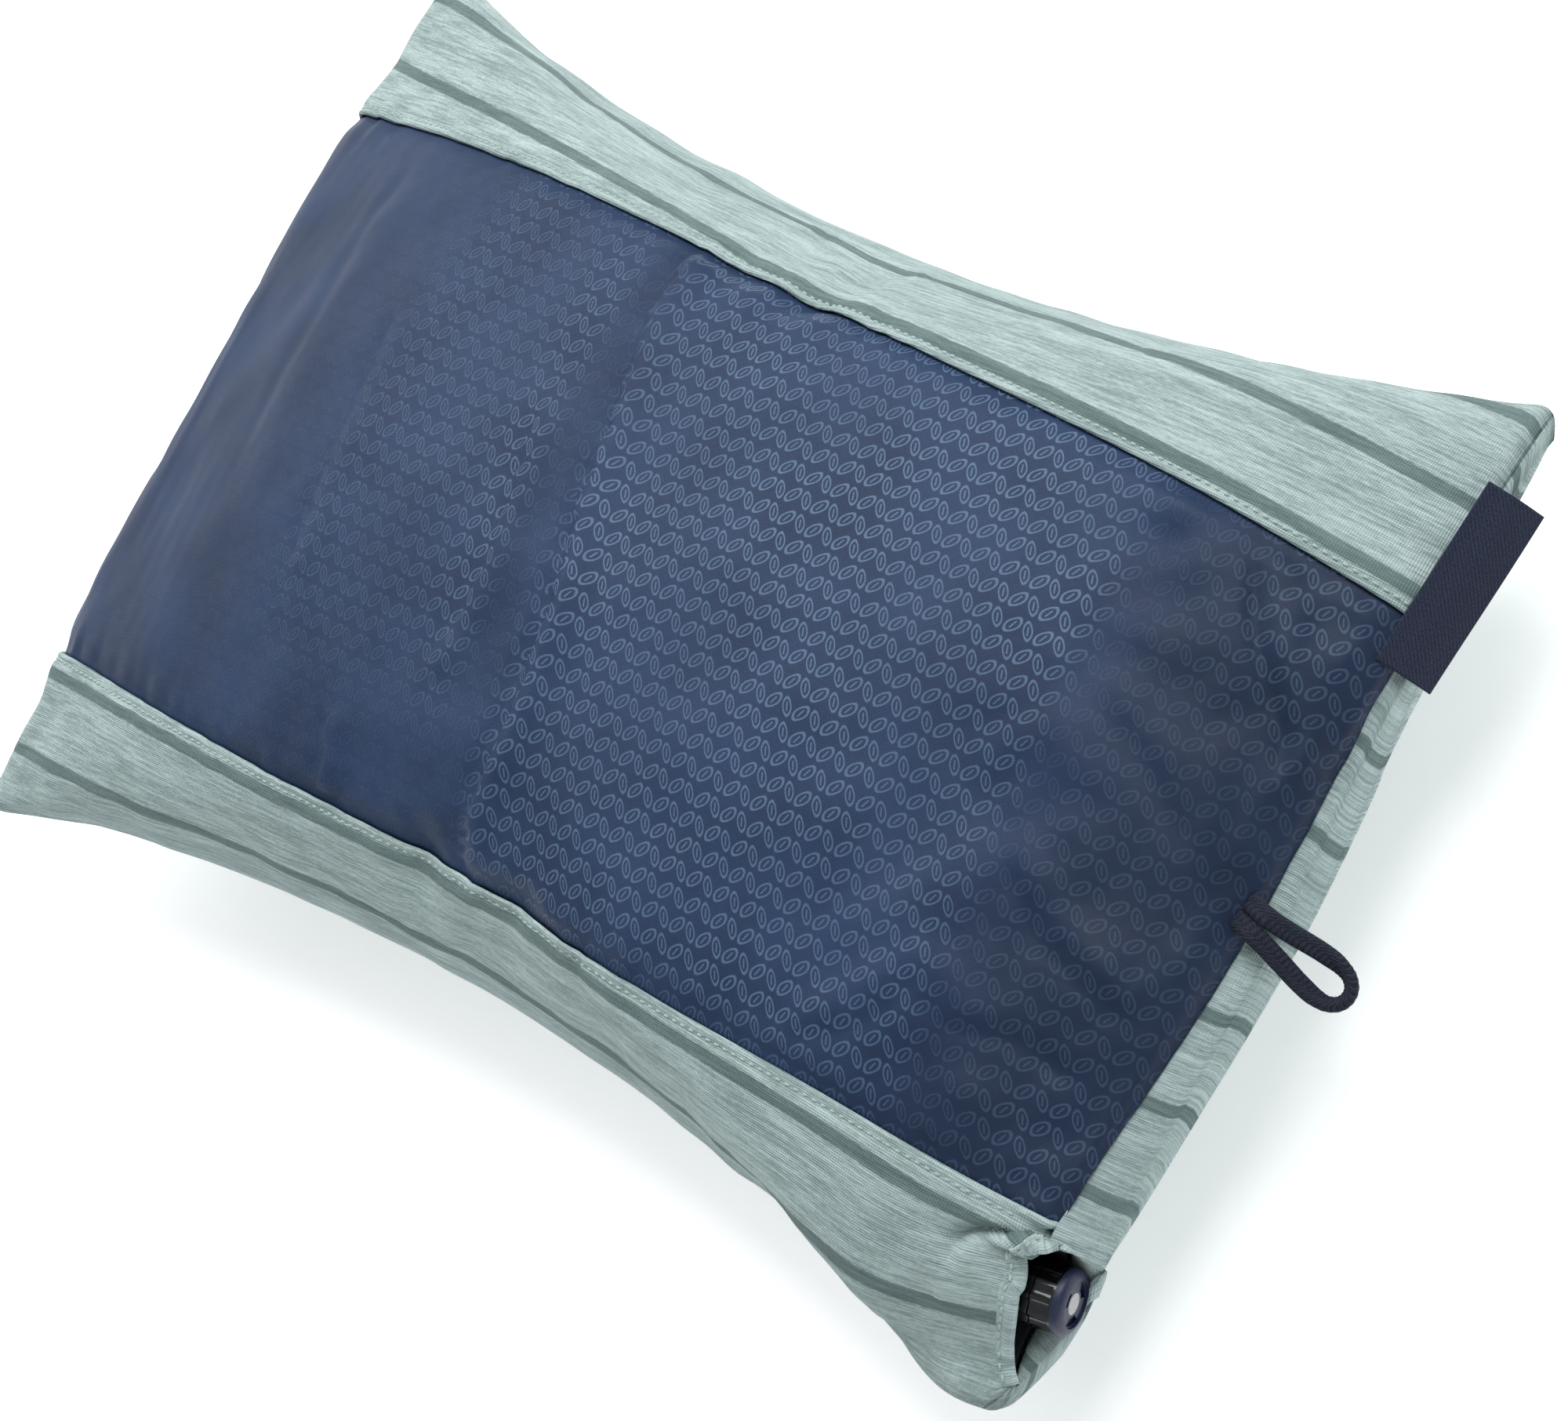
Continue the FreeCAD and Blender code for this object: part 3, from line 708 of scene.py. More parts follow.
# The fold of the sleeping face, which passes under the cap, and its cut edge turned into the opening.
FOLD_LINE = (
    (0, 203, -131, 40),
    (5, 203.8, -129, 38.5),
    (12, 204, -124, 36.8),
    (20, 204.5, -118, 35),
    (28, 205.5, -112, 33.2),
    (35, 206, -106, 33),
    (40, 208, -99.8, 36),
    (45, 211, -96, 42),
)
TURNED_LINE = (
    (0, 203, -131, 40),
    (5, 200.6, -128, 39),
    (12, 198, -122, 37),
    (20, 196.6, -115, 35.2),
    (28, 196.2, -107, 34),
    (34, 197.6, -101, 36),
    (38, 200.6, -97, 42),
    (42, 204.2, -95.6, 50),
    (45, 206, -97, 57.5),
)


def pull_edge(points, edge, target, rows, reach):
    """Moves rows of a grid so that their column at the edge meets a target, fading out before it."""
    move = target - points[edge][rows]
    columns = np.arange(edge + 1)
    gaps = np.linalg.norm(points[columns][:, rows] - points[edge][rows], axis=2)
    points[np.ix_(columns, rows)] += ramp(gaps, reach, 0)[..., None] * move


# ---------------------------------------------------------------- cutting the skin


def build_skin():
    """The fine grids of the top and bottom layers, with u and w for each."""
    grid = skin_grid()
    u, w = cutting_grid()
    top = skin_points(grid, u, w / GIRTH * WIDTHS)
    bottom = skin_points(grid, u, (RINGS - w / GIRTH * WIDTHS) % RINGS)
    inside = ramp(w, near_seam(u), near_seam(u) + 0.006) * ramp(w, far_seam(u), far_seam(u) - 0.006)
    on_panel = inside * ramp(u, 0.004, 0.02) * ramp(LENGTH - u, 0.008, 0.02)
    quarter = ramp(u, 0.72 * LENGTH, 0.86 * LENGTH)
    lumps = soft_noise(u, w, 0.022, 3) * 0.00045 + soft_noise(u, w, 0.011, 4) * 0.00022
    small = soft_noise(u, w, 0.0075, 5) * 0.00012
    height = on_panel * (folds(u, w) + lumps * (0.55 + 1.5 * quarter) + small * (0.6 + 2 * quarter))
    by_seams = np.minimum(np.abs(w - near_seam(u)), np.abs(w - far_seam(u)))
    pucker = soft_noise(u * 1.6, w * 0.5, 0.007, 6) * 0.00028 * np.exp(-((by_seams / 0.009) ** 2))
    sides = soft_noise(u, w * 0.35, 0.012, 8) * 0.0004 * ramp(np.minimum(w, GIRTH - w), 0.05, 0.01)
    hem_gap = np.abs(u - (LENGTH - hem_depth(w)))
    gather = soft_noise(w * 1.2 + 0.03, u * 0.4, 0.009, 9) * 0.00018 * np.exp(-((hem_gap / 0.012) ** 2))
    groove = -0.0011 * np.exp(-((hem_gap / 0.0022) ** 2))
    gather *= 1 + 1.4 * ramp(w, far_seam(u), GIRTH)
    top += normals(top) * (height + pucker + sides + gather + groove)[..., None]
    under = soft_noise(u, w, 0.03, 10) * 0.0004
    bottom[..., 2] = np.where(bottom[..., 2] > 0.0006, bottom[..., 2] + under, bottom[..., 2])
    for edge in (np.s_[:, 0], np.s_[:, -1], np.s_[0], np.s_[-1]):
        top[edge] = bottom[edge] = (top[edge] + bottom[edge]) / 2
    bottom[..., 2] = np.maximum(bottom[..., 2], 0)
    top[..., 2] = np.maximum(top[..., 2], 0)
    return top, bottom, u, w


top, bottom, cloth_u, cloth_w = build_skin()
PORT_ROWS = np.where(cloth_w[HEM_COLUMN] <= PORT_W + 0.0005)[0]  # the rows that end at the opening's hem


def shape_corner():
    """Pulls the layers to the opening's hem and fold, and returns the grids of the strip and the margin."""
    strip, margin = top.copy(), top.copy()
    w_edge = cloth_w[HEM_COLUMN]
    hem = curve_through(HEM_LINE, w_edge[PORT_ROWS] * 1000)
    pull_edge(strip, HEM_COLUMN, hem, PORT_ROWS, 0.055)
    w_end = cloth_w[COLUMNS - 1]
    low = np.where(w_end <= MARGIN_W)[0]
    move = curve_through(FOLD_LINE, np.minimum(w_end[low], PORT_W) * 1000) - bottom[-1, low]
    last = np.where(w_end <= PORT_W)[0][-1]
    move[last:] = move[last] * ramp(w_end[low][last:], MARGIN_W, PORT_W)[:, None]
    fold = bottom[-1, low] + move
    pull_edge(bottom, COLUMNS - 1, fold, low, 0.05)
    margin[COLUMNS - 1, low] = fold
    cut_edge = curve_through(TURNED_LINE, w_edge[PORT_ROWS] * 1000)
    shares = np.linspace(0, 1, COLUMNS - HEM_COLUMN)
    for j in range(max(len(low), len(PORT_ROWS))):
        turned = j < len(PORT_ROWS)
        start = cut_edge[j] if turned else top[HEM_COLUMN, j]
        line = start + (margin[COLUMNS - 1, j] - start) * shares[:, None]
        line[:, 2] += np.sin(math.pi * shares) * (0.0012 if turned else 0)
        share = 1.0 if turned else float(ramp(w_edge[j], MARGIN_W, PORT_W))
        margin[HEM_COLUMN:, j] += share * (line - margin[HEM_COLUMN:, j])
    # The near edge is one fold, which the strip and the sleeping face share.
    meet = (strip[: HEM_COLUMN + 1, 0] + bottom[: HEM_COLUMN + 1, 0]) / 2
    strip[: HEM_COLUMN + 1, 0] = bottom[: HEM_COLUMN + 1, 0] = meet
    bottom[HEM_COLUMN:, 0] = margin[HEM_COLUMN:, 0]
    bottom[..., 2] = np.maximum(bottom[..., 2], 0)
    return strip, margin


strip_grid, margin_grid = shape_corner()


def hood_fold():
    """The crease above the opening: the strip stands over the hood that goes round the barrel."""
    crease = ((204, -96), (196, -100), (187, -108), (183, -116))
    side, share = along_line(cloth_u, cloth_w, [place_on_cloth(*place) for place in crease])
    fade = ramp(share, 1, 0.55)
    over = np.exp(-((side + 0.0035) / 0.004) ** 2) * 0.0024
    under = np.exp(-((side - 0.0016) / 0.0024) ** 2) * 0.0034
    strip_grid[...] += normals(strip_grid) * (fade * (over - under))[..., None]


VALVE = np.array([0.2094, -0.107, 0.0428])  # a point on the valve's axis, at the cap
VALVE_AXIS = np.array([0.95618, 0.17895, -0.23175])


def from_valve(points):
    """Each point's depth along the valve, inwards, and its way out from the valve's axis."""
    gap = points - VALVE
    depth = -(gap @ VALVE_AXIS)
    return depth, gap + depth[..., None] * VALVE_AXIS


def clear_of_barrel(points, radius=0.0106):
    """Pushes cloth off the valve's barrel and flange."""
    depth, radial = from_valve(points)
    far = np.linalg.norm(radial, axis=-1)
    short = np.maximum(radius - far, 0) * ramp(depth, 0.011, 0.016) * ramp(depth, 0.036, 0.032)
    points += radial / np.maximum(far, 1e-9)[..., None] * short[..., None]


hood_fold()
clear_of_barrel(strip_grid)

# ---------------------------------------------------------------- making pieces


def make_piece(
    name, points, faces, material, body="case", codes=None, print_sheen=None, thick=0.0, solid=False
):
    """A smooth mesh piece with its cloth codes: a sheet, thickened inwards or not, or a closed solid."""
    mesh = bpy.data.meshes.new(name)
    mesh.from_pydata(np.reshape(points, (-1, 3)).tolist(), [], [[int(n) for n in face] for face in faces])
    # The "print" layer holds painted reflection: how strongly the print shows where its gloss catches the
    # light.
    for label, kind, key, values in (
        ("cloth", "FLOAT_VECTOR", "vector", codes),
        ("print", "FLOAT", "value", print_sheen),
    ):
        if values is not None:
            layer = mesh.attributes.new(label, kind, "POINT")
            layer.data.foreach_set(key, np.asarray(values, np.float32).ravel())
    if solid:
        work = bmesh.new()
        work.from_mesh(mesh)
        bmesh.ops.recalc_face_normals(work, faces=work.faces)
        work.to_mesh(mesh)
        work.free()
    mesh.materials.append(material)
    mesh.polygons.foreach_set("use_smooth", [True] * len(mesh.polygons))
    mesh.update()
    piece = bpy.data.objects.new(name, mesh)
    bpy.context.scene.collection.objects.link(piece)
    if thick:
        thicker = piece.modifiers.new("thickness", "SOLIDIFY")
        thicker.thickness, thicker.offset = thick, -1
        with bpy.context.temp_override(object=piece, active_object=piece):
            bpy.ops.object.modifier_apply(modifier="thickness")
    if body:
        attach(piece, body)
    return piece


def grid_faces(index, flip=False):
    """Quads of a grid of vertex numbers."""
    quads = np.stack([index[:-1, :-1], index[1:, :-1], index[1:, 1:], index[:-1, 1:]], -1).reshape(-1, 4)
    return quads[:, ::-1] if flip else quads


def tube_faces(length, sides, capped=True):
    """Faces of a tube made of rings of points, with its two ends closed if asked for."""
    index = np.arange(length * sides).reshape(length, sides)
    faces = grid_faces(np.concatenate((index, index[:, :1]), 1)).tolist()
    return faces + [index[0].tolist(), index[-1][::-1].tolist()] if capped else faces


def cut_piece(name, surface, columns, rows, material, print_sheen=None):
    """A sheet of woven cloth, cut out of a surface that is given at every column and row."""
    part = np.ix_(columns, rows)
    faces = grid_faces(np.arange(len(columns) * len(rows)).reshape(len(columns), -1))
    codes = stacked(cloth_u * 1000, cloth_w * 1000, 0.0)[part]
    return make_piece(name, surface[part], faces, material, codes=codes, print_sheen=print_sheen, thick=WOVEN)


def stripe_number(u, round_case):
    """Where a place lies among the stripes, which fan out a little towards the valve end."""
    x = u / LENGTH
    first = 0.108 + (0.083 - 0.108) * x
    pitch = 0.0242 + (0.02567 - 0.0242) * x
    return (round_case - first) / pitch


def folded_edge(distance):
    """A hem's folded edge over the cloth below it: a soft lip, a sunk row of stitches and a swell."""
    lip = 0.0009 * ramp(distance, -0.0002, 0.0009)
    sunk = -0.00065 * np.exp(-((distance - STITCH) / 0.0007) ** 2)
    swell = 0.0004 * np.exp(-((distance - 0.0055) / 0.003) ** 2)
    return lip * np.exp(-distance / 0.02) + sunk + swell


KNIT = 0.001       # the thickness of the jersey
WOVEN = 0.0004     # and of the woven cloth
RIBBON = 0.00045   # and of one layer of the label


def jersey_piece(material):
    """The sleeping face with its wrapped margin, and the two strips, as one cloth."""
    u, w = cloth_u, cloth_w
    strip = strip_grid.copy()
    out = normals(strip)
    from_near, from_far = near_seam(u) - w, w - far_seam(u)
    lift = np.where(w < GIRTH / 2, folded_edge(from_near), folded_edge(from_far))
    at_port = ramp(w, PORT_W, PORT_W - 0.004)
    from_hem = LENGTH - hem_depth(w) - u
    port_hem = 0.0005 * ramp(from_hem, 0.0055, 0.0035) - 0.0004 * np.exp(-((from_hem - 0.0042) / 0.0007) ** 2)
    end_seam = -0.0006 * np.exp(-((from_hem / 0.0016) ** 2))
    strip += out * (lift + at_port * port_hem + (1 - at_port) * end_seam)[..., None]
    strip[:, 0], strip[:, -1] = bottom[:, 0], bottom[:, -1]
    strip[0] = bottom[0]
    low_index = np.arange(COLUMNS * ROWS).reshape(COLUMNS, ROWS)
    points = [bottom.reshape(-1, 3)]
    codes = [stacked(u * 1000, w * 1000, stripe_number(u, 1.5 * GIRTH - w)).reshape(-1, 3)]
    faces = [grid_faces(low_index, flip=True)]
    count = COLUMNS * ROWS

    def add(part, columns, rows, around, welds):
        nonlocal count
        index = np.full((COLUMNS, ROWS), -1)
        cut = np.ix_(columns, rows)
        index[cut] = count + np.arange(len(columns) * len(rows)).reshape(len(columns), -1)
        points.append(part[cut].reshape(-1, 3))
        codes.append(stacked(u * 1000, w * 1000, stripe_number(u, around))[cut].reshape(-1, 3))
        for weld in welds:
            index[weld] = np.where(index[weld] >= 0, low_index[weld], -1)
        count += len(columns) * len(rows)
        faces.append(grid_faces(index[cut]))

    body_columns = np.arange(0, HEM_COLUMN + 1)
    near_edge, far_edge = np.s_[:, 0], np.s_[:, ROWS - 1]
    open_end, valve_end = np.s_[0, :], np.s_[COLUMNS - 1, :]
    add(strip, body_columns, np.arange(0, NEAR_ROW + 1), 1.5 * GIRTH + w, (near_edge, open_end))
    add(strip, body_columns, np.arange(FAR_ROW, ROWS), w - GIRTH / 2, (far_edge, open_end))
    margin = margin_grid.copy()
    seam = -0.0008 * np.exp(-(((u - LENGTH + hem_depth(w)) / 0.0016) ** 2)) * ramp(w, PORT_W, PORT_W + 0.004)
    margin += normals(margin) * seam[..., None]
    margin[-1] = bottom[-1]
    margin[:, 0], margin[:, -1] = bottom[:, 0], bottom[:, -1]
    columns = np.arange(HEM_COLUMN, COLUMNS)
    add(margin, columns, np.arange(ROWS), 1.5 * GIRTH - w, (near_edge, far_edge, valve_end))
    points, codes, faces = np.concatenate(points), np.concatenate(codes), np.concatenate(faces)
    used, compact = np.unique(faces, return_inverse=True)
    faces = compact.reshape(faces.shape)
    piece = make_piece("jersey_cover", points[used], faces, material, codes=codes[used], thick=KNIT)
    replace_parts(piece, "jersey_case")
    return piece, strip


def painted_print_sheen(u, w):
    """Painted reflection on the print: how strongly the print shows, strong over the middle where its gloss
    catches the light, weaker towards the open end, faint at the valve.
    """
    x, y = (u / LENGTH * 2 - 1) * 215, (w - GIRTH / 2) * 1000 * 0.84
    fold_x = -16 - 0.048 * np.abs(y) - 0.17 * y
    main = ramp(x, fold_x - 2, fold_x + 14) * ramp(x, 152 - 0.1 * y, 138 - 0.1 * y)
    main *= ramp(y, -84, -66) * (0.75 + 0.25 * ramp(y, -60, 20))
    middle = ramp(x, -112, -92) * ramp(x, fold_x - 6, fold_x - 16) * ramp(y, -62, -20)
    bands = 0.5 + 0.5 * ramp(np.abs(x + 34 + 0.2 * y), 16, 4)
    patch = 0.62 * middle * bands
    end = 0.10 * ramp(x, 150, 160) + 0.28 * np.exp(-(((x - 188) / 16) ** 2) - ((y - 58) / 20) ** 2)
    end += 0.3 * np.exp(-(((x - 190) / 16) ** 2) - ((y + 62) / 18) ** 2)
    faint = 0.10 * ramp(x, -160, -120)
    spread = np.clip(main + patch + end + faint, 0, 1)
    return spread * (0.82 + 0.18 * np.clip(soft_noise(u, w, 0.03, 12), -1, 1))


TUCK = 3  # rows of the pocket panel that go on under each strip


def pocket_piece(material):
    """The pocket panel: under the strips at both long edges, sewn to the margin, and free at the open end."""
    rows = np.arange(NEAR_ROW - TUCK, FAR_ROW + TUCK + 1)
    columns = np.arange(MOUTH_COLUMN, HEM_COLUMN + 1)
    u, w = cloth_u, cloth_w
    edge = np.minimum(w - near_seam(u), far_seam(u) - w)
    height = -0.0009 + 0.0009 * ramp(edge, 0.0, 0.007) - 0.0006 * ramp(edge, 0.0005, -0.001)
    from_mouth = u - MOUTH
    free = ramp(edge, -0.001, 0.012)
    height += free * (0.0003 * np.exp(-from_mouth / 0.012) + 0.0006 * ramp(from_mouth, 0.0016, 0))
    height += 0.0006 * ramp(LENGTH - hem_depth(w) - u, 0.0005, 0.004) - 0.0004
    panel = top + normals(top) * height[..., None]
    print_sheen = painted_print_sheen(u, w)[np.ix_(columns, rows)]
    piece = cut_piece("pocket_cloth_panel", panel, columns, rows, material, print_sheen)
    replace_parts(piece, "pocket_panel")
    return piece


def facing_piece(material):
    """The facing inside the mouth: sewn to the sleeping face, and going in below the pocket panel."""
    u, w = cloth_u, cloth_w
    last = int(np.argmin(np.abs(u[:, ROWS // 2] - 0.045)))
    columns, rows = np.arange(0, last + 1), np.arange(NEAR_ROW - TUCK, FAR_ROW + TUCK + 1)
    depth = -0.0004 - 0.0034 * ramp(u, 0.0035, 0.0085) - 0.0008 * ramp(u, 0.01, 0.03)
    sides = ramp(np.minimum(w - near_seam(u), far_seam(u) - w), 0.0, 0.01)
    depth = depth * (0.45 + 0.55 * sides) - 0.0008 * (1 - sides)
    surface = top + normals(top) * depth[..., None]
    surface[0] = bottom[0] + np.array([-0.0002, 0, 0])
    piece = cut_piece("mouth_facing_cloth", surface, columns, rows, material)
    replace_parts(piece, "mouth_facing")


STITCH_LENGTH = 0.0019
STITCH_GAP = 0.0011
THREAD = 0.00038       # the radius of the sewing thread
STITCH_ARCH = np.array([-0.9, 0.25, 0.5, 0.25, -0.9]) * THREAD  # the height along one stitch


def bar_points(path, radius, sides=6, tip=0.35):
    """Points of a round bar along a path, with drawn-in ends."""
    way = unit(np.gradient(path, axis=0))
    level = unit(np.cross(way, np.array([0, 0, 1.0])))
    rise = np.cross(level, way)
    angle = np.arange(sides) / sides * math.tau
    sizes = np.full(len(path), radius)
    sizes[[0, -1]] *= tip
    ring = level[:, None] * np.cos(angle)[:, None] + rise[:, None] * np.sin(angle)[:, None]
    return (path[:, None] + ring * sizes[:, None, None]).reshape(-1, 3)


def stitch_piece(name, line, out):
    """A row of separate stitches along a line of the skin, given as its points and their normals."""
    points, faces = [], []
    along = run_of(line)
    for start in np.arange(STITCH_GAP, along[-1] - STITCH_LENGTH, STITCH_LENGTH + STITCH_GAP):
        want = np.linspace(start, start + STITCH_LENGTH, len(STITCH_ARCH))
        path = between(want, along, line) + between(want, along, out) * STITCH_ARCH[:, None]
        bar = bar_points(path, THREAD)
        quads = tube_faces(len(path), len(bar) // len(path))
        faces += [[n + len(bar) * len(points) for n in quad] for quad in quads]
        points.append(bar)
    return make_piece(name, np.concatenate(points), faces, thread_look)


def line_on(grid, u_from, u_to, w_line, count=420):
    """Points and normals along the near or far strip at a chosen w for each u."""
    out = normals(grid)
    spots, faces = [], []
    for u in np.linspace(u_from, u_to, count):
        i = np.abs(cloth_u[:, ROWS // 2] - u).argmin()
        i = min(max(i, 1), COLUMNS - 2)
        row = cloth_w[i]
        w = w_line(u)
        shift = (u - cloth_u[i, ROWS // 2]) / (cloth_u[i + 1, ROWS // 2] - cloth_u[i - 1, ROWS // 2]) * 2
        here = between(w, row, grid[i])
        step = 1 if shift > 0 else -1
        there = between(w, cloth_w[i + step], grid[i + step])
        spots.append(here + (there - here) * min(1, abs(shift)))
        faces.append(between(w, row, out[i]))
    return np.array(spots), np.array(faces)


# ---------------------------------------------------------------- the pieces of the case

jersey_look = jersey()
pocket_look = pocket_cloth()
facing_look = plain_cloth("facing_cloth", tone(17, 18, 22), tone(38, 41, 48), rib=0.5)
thread_look = plain_cloth("stitch_thread", tone(150, 172, 167), tone(188, 206, 200), rib=0.4)
braid_look = plain_cloth("loop_braid", tone(13, 16, 26), tone(42, 48, 64), rib=0.75)
ribbon_look = plain_cloth("label_ribbon", tone(24, 29, 44), tone(46, 54, 76), rib=0.7)

cover, strip_skin = jersey_piece(jersey_look)
panel = pocket_piece(pocket_look)
facing_piece(facing_look)

far_line = line_on(strip_skin, 0.006, LENGTH - 0.006, lambda u: far_seam(u) + STITCH)
near_line = line_on(strip_skin, 0.006, LENGTH - 0.018, lambda u: near_seam(u) - STITCH)
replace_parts(stitch_piece("far_seam_stitches", *far_line), "far_seam_thread")
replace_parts(stitch_piece("near_seam_stitches", *near_line), "near_seam_thread")


# ---------------------------------------------------------------- the valve's opening


# The hem's outline: its distance in from the edge and its height, in millimetres.
HEM_OUTLINE = np.array([
    (-0.4, -0.7), (-0.9, 0.1), (-0.6, 0.9), (0.3, 1.3), (1.6, 1.2), (2.7, 0.7),
    (3.3, 0.4), (4.0, 0.6), (4.4, 0.1), (4.0, -0.6), (1.6, -0.9),
]) / 1000


def port_hem():
    """The strip's hem round the upper side of the valve's opening: a folded and stitched band."""
    keys = np.linspace(PORT_ROWS[0], PORT_ROWS[-1], 90)
    path = between(keys, np.arange(ROWS), strip_skin[HEM_COLUMN])
    inner = between(keys, np.arange(ROWS), strip_skin[HEM_COLUMN - 6])
    way = unit(np.gradient(path, axis=0))
    side = inner - path
    side = unit(side - way * (side * way).sum(1, keepdims=True))
    face = unit(np.cross(way, side))
    face *= np.sign((face * np.array([0.2, -0.6, 0.8])).sum(1, keepdims=True))
    rings = path[:, None] + side[:, None] * HEM_OUTLINE[:, :1] + face[:, None] * HEM_OUTLINE[:, 1:]
    faces = tube_faces(*rings.shape[:2])
    codes = stacked((LENGTH - 0.01 - HEM_OUTLINE[:, 0]) * 1000, run_of(path)[:, None] * 1000, 0.5)
    piece = make_piece("valve_opening_hem", rings, faces, jersey_look, codes=codes, solid=True)
    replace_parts(piece, "valve_port_hem")
    stitch_piece("valve_opening_stitches", path + side * 0.0031 + face * 0.0006, face)
    return path


hem_path = port_hem()


def valve_shade_lining():
    """The dark lining between the opening's edges and the barrel: the inside of the case is there, but this
    near-black sheet is painted shade for the shade inside the opening.
    """
    lower = margin_grid[HEM_COLUMN][PORT_ROWS][::-1]
    loop = np.concatenate((hem_path, lower[1:-1]))
    depth, radial = from_valve(loop)
    radius = np.linalg.norm(radial, axis=1, keepdims=True)
    radial = radial / radius
    shares = np.array([0.0, 0.12, 0.3, 0.55, 0.8, 1.0])[:, None, None]
    start_depth, start_radius = depth[None, :, None] + 0.0008, radius[None] - 0.0012
    depths = start_depth + (0.0205 - start_depth) * shares
    radii = start_radius + (0.0097 - start_radius) * shares**1.6
    rings = VALVE + radial[None] * radii - VALVE_AXIS * depths
    faces = tube_faces(*rings.shape[:2], capped=False)
    codes = stacked(depths[..., 0] * 1000, run_of(loop) * 1000, 0.0)
    # Painted shade: a near-black sheet closes the opening where its inside lies in shade.
    lining = make_piece("valve_opening_shade_lining", rings, faces, facing_look, codes=codes, solid=True)
    solid = lining.modifiers.new("thickness", "SOLIDIFY")
    solid.thickness, solid.offset = WOVEN, 1


valve_shade_lining()

# ---------------------------------------------------------------- the hang loop and the label

LOOP_ROOT = Vector((0.211, -0.0047, 0.0617))
LOOP_TURN = Matrix.Rotation(math.radians(-12.8), 3, "Z") @ Matrix.Rotation(math.radians(30), 3, "Y")
BRAID_HALF = 0.0026
BRAID_THICK = 0.0016


def loop_path(count):
    """The middle of the braid in the loop's own plane, out along one leg and back along the other."""
    knots = np.array([
        (-1.5, -2.6), (3, -2.6), (8, -2.9), (14, -3.7), (20, -4.6), (25, -5),
        (29, -4.5), (31.6, -2.6), (32.4, 0),
    ])
    knots = np.concatenate((knots, knots[:-1][::-1] * (1, -1))) / 1000
    spans = run_of(knots)
    fine = np.linspace(0, spans[-1], count)
    return softened(between(fine, spans, knots), 11), fine


def hang_loop():
    """A flat tubular braid folded back on itself: its legs lie flat, and its tip stands on edge."""
    count, sides = 300, 40
    line, along = loop_path(count)
    share = along / along[-1]
    height = 0.0012 * np.exp(-((share - 0.5) / 0.1) ** 2) - 0.004 * ramp(line[:, 0], 0.006, -0.0015)
    path = np.stack([line[:, 0], line[:, 1], height - 0.0012], 1)
    way = unit(np.gradient(path, axis=0))
    up = np.array([0, 0, 1.0])
    outward = unit(np.cross(way, up))
    lean = math.radians(66) * np.exp(-(((share - 0.5) / 0.15) ** 4))
    wide = outward * np.cos(lean)[:, None] + up * np.sin(lean)[:, None]
    thin = unit(np.cross(way, wide))
    angle = np.arange(sides) / sides * math.tau
    level, rise = np.cos(angle), np.sin(angle)
    level_bend, rise_bend = np.abs(level) ** 0.75 * np.sign(level), np.abs(rise) ** 0.8 * np.sign(rise)
    across = level_bend * BRAID_HALF * 1000
    slanted = along[:, None] * 1000 + 0.85 * np.abs(across)
    chevron = np.sin(slanted * math.tau / 1.5) * np.abs(rise)
    gutter = -np.exp(-((across / 0.7) ** 2)) * np.abs(rise)
    bumps = 0.00011 * chevron + 0.0002 * gutter
    pinch = 1 - 0.12 * np.exp(-(((share - 0.5) / 0.2) ** 2))
    points = path[:, None] + wide[:, None] * (level_bend * BRAID_HALF * pinch[:, None])[..., None]
    points = points + thin[:, None] * (rise_bend * (BRAID_THICK + bumps))[..., None]
    points = points @ np.array(LOOP_TURN).T + np.array(LOOP_ROOT)
    codes = stacked(slanted, across, 0.0)
    piece = make_piece(
        "hang_loop_braid", points, tube_faces(count, sides), braid_look, None, codes, solid=True
    )
    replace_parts(piece, "hang_loop")
    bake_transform(piece)


LABEL_ROOT = Vector((0.212, 0.09, 0.0581))
LABEL_TURN = Matrix.Rotation(math.radians(-5), 3, "Z") @ Matrix.Rotation(math.radians(45), 3, "Y")


def label():
    """A ribbon folded double, with its fold outermost, a little curved and open at its two short sides."""
    reach, half, sides, count = 0.013, 0.0255, 48, 90
    y = np.linspace(-half, half, count)
    t = np.linspace(0, 1, sides)
    turn = np.clip((t - 0.47) / 0.06, 0, 1) * math.pi
    x = np.where(t < 0.5, np.minimum(t / 0.47, 1), np.minimum((1 - t) / 0.47, 1)) * (reach + 0.0026) - 0.0026
    x = x + 0.00075 * np.sin(turn)
    gap = 0.00055 + 0.0005 * np.sin(math.pi * np.clip(x / reach, 0, 1)) ** 2
    z = gap * np.cos(turn)
    share = np.clip(x / reach, 0, 1)
    droop = -0.0016 * share**2 + 0.0006 * np.sin(3.2 * share)
    wave = 0.0007 * np.sin(y / half * 2.2 + 0.4)[:, None] * share
    points = stacked(x, y[:, None], z + droop + wave) @ np.array(LABEL_TURN).T + np.array(LABEL_ROOT)
    codes = stacked(t * 38, y[:, None] * 1000, 0.0)
    faces = grid_faces(np.arange(count * sides).reshape(count, sides), flip=True)
    piece = make_piece("label_ribbon", points, faces, ribbon_look, None, codes, thick=RIBBON)
    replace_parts(piece, "label_tab")
    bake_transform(piece)


hang_loop()
label()

# ---------------------------------------------------------------- what is inside, the floor and the end


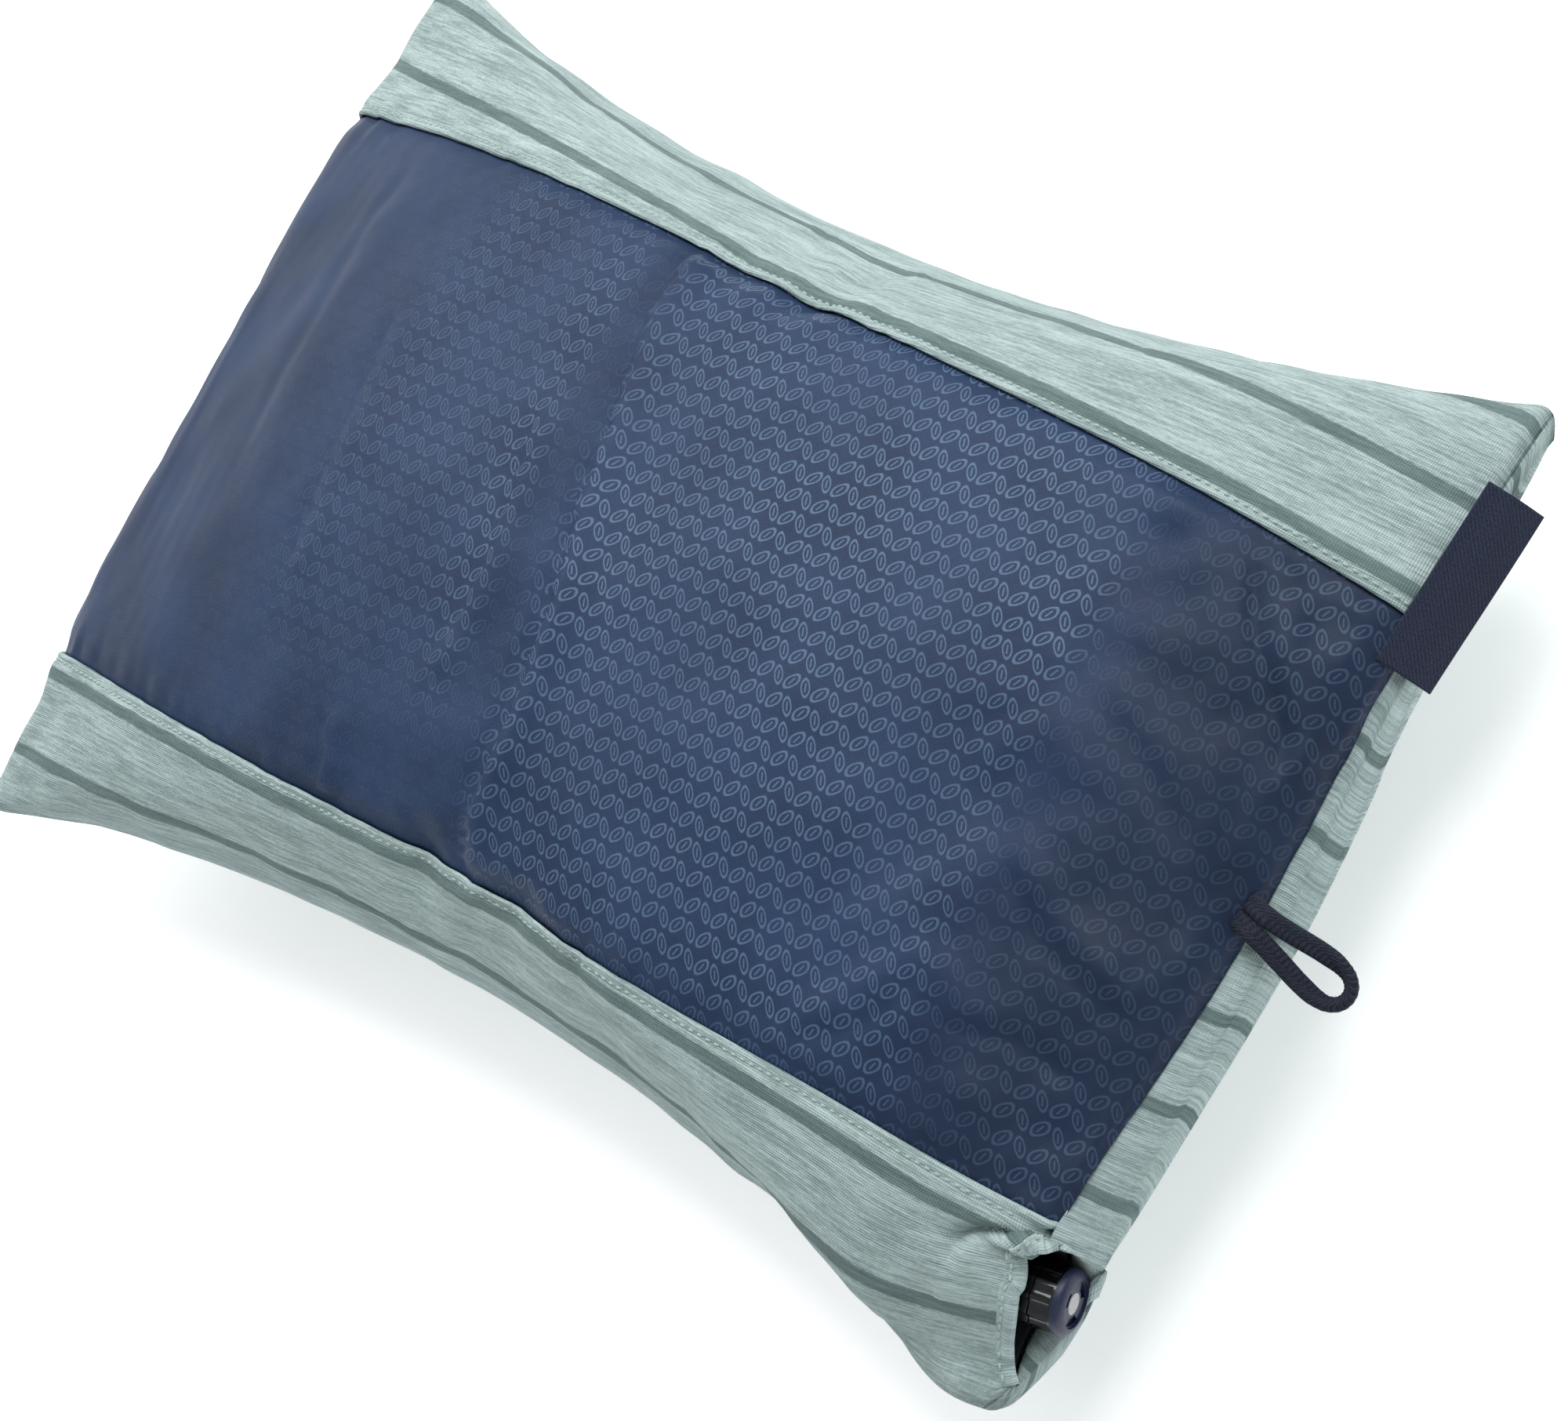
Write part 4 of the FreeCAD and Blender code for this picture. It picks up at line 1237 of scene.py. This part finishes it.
def foam_piece():
    """The foam: a sheet just inside the bottom layer, with the valve's corner cut away."""
    columns, rows = np.arange(6, COLUMNS - 10, 2), np.arange(3, ROWS - 3, 2)
    skin = bottom[np.ix_(columns, rows)]
    lift = np.array([0, 0, 1.0])
    inner = skin.copy()
    centre = skin[:, len(rows) // 2][:, None]
    inner[..., :2] = (centre[..., :2] + (skin[..., :2] - centre[..., :2]) * 0.965) * 0.985
    inner += lift * 0.0036
    corner = (inner[..., 0] > 0.168) & (inner[..., 1] < -0.08)
    thick = 0.006 * ramp(MID - skin[..., 2], 0.004, 0.03)[..., None] + 0.0012
    upper = inner + lift * thick
    count = inner.shape[0] * inner.shape[1]
    index = np.arange(count).reshape(inner.shape[:2])
    keep = ~(corner[:-1, :-1] | corner[1:, :-1] | corner[1:, 1:] | corner[:-1, 1:])
    quads = grid_faces(index)[keep.ravel()]
    edges = dict.fromkeys(edge for quad in quads.tolist() for edge in zip(quad, quad[1:] + quad[:1]))
    walls = [(a, a + count, b + count, b) for a, b in edges if (b, a) not in edges]
    points = np.concatenate((inner.reshape(-1, 3), upper.reshape(-1, 3)))
    faces = np.concatenate((quads[:, ::-1], quads + count, walls))
    used, compact = np.unique(faces, return_inverse=True)
    foam = solid_material("foam", tone(196, 196, 190), tone(216, 216, 210), 0.95, 1.1, 0.0004)
    piece = make_piece("foam_layer", points[used], compact.reshape(-1, 4), foam, solid=True)
    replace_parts(piece, "foam_pad")
    return piece


foam = foam_piece()

film = solid_material("film", tone(150, 156, 160), tone(168, 174, 178), 0.35, 6, 0.0001)
black = solid_material("valve_black", tone(7, 8, 10), tone(16, 17, 20), 0.18, 1.5, 0.00003, coat=0.3)
navy = solid_material("cap_navy", tone(20, 29, 56), tone(28, 38, 68), 0.42, 0.6, 0.00005)
grey = solid_material("disc_grey", tone(150, 152, 156), tone(176, 178, 180), 0.3, 0.4, 0.00003)
rubber = solid_material("seal_rubber", tone(30, 30, 32), tone(44, 44, 46), 0.7, 0.8, 0.00005)
for material, names in (
    (film, ("air_cell_upper_film", "air_cell_lower_film", "air_cell_weld_rim", "valve_flange")),
    (film, ("baffle_1", "baffle_2", "baffle_3", "baffle_4")),
    (black, ("valve_barrel", "cap_grip_ring")),
    (navy, ("valve_cap",)),
    (grey, ("cap_centre_disc",)),
    (rubber, ("cap_seal_ring",)),
):
    for name in names:
        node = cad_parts[name]
        node.data.materials.clear()
        node.data.materials.append(material)

bpy.ops.mesh.primitive_plane_add(size=6, location=(0, 0, 0))
floor = bpy.context.object
floor.name = "floor"
floor.data.materials.append(floor_material())

aim_camera()
light_scene()
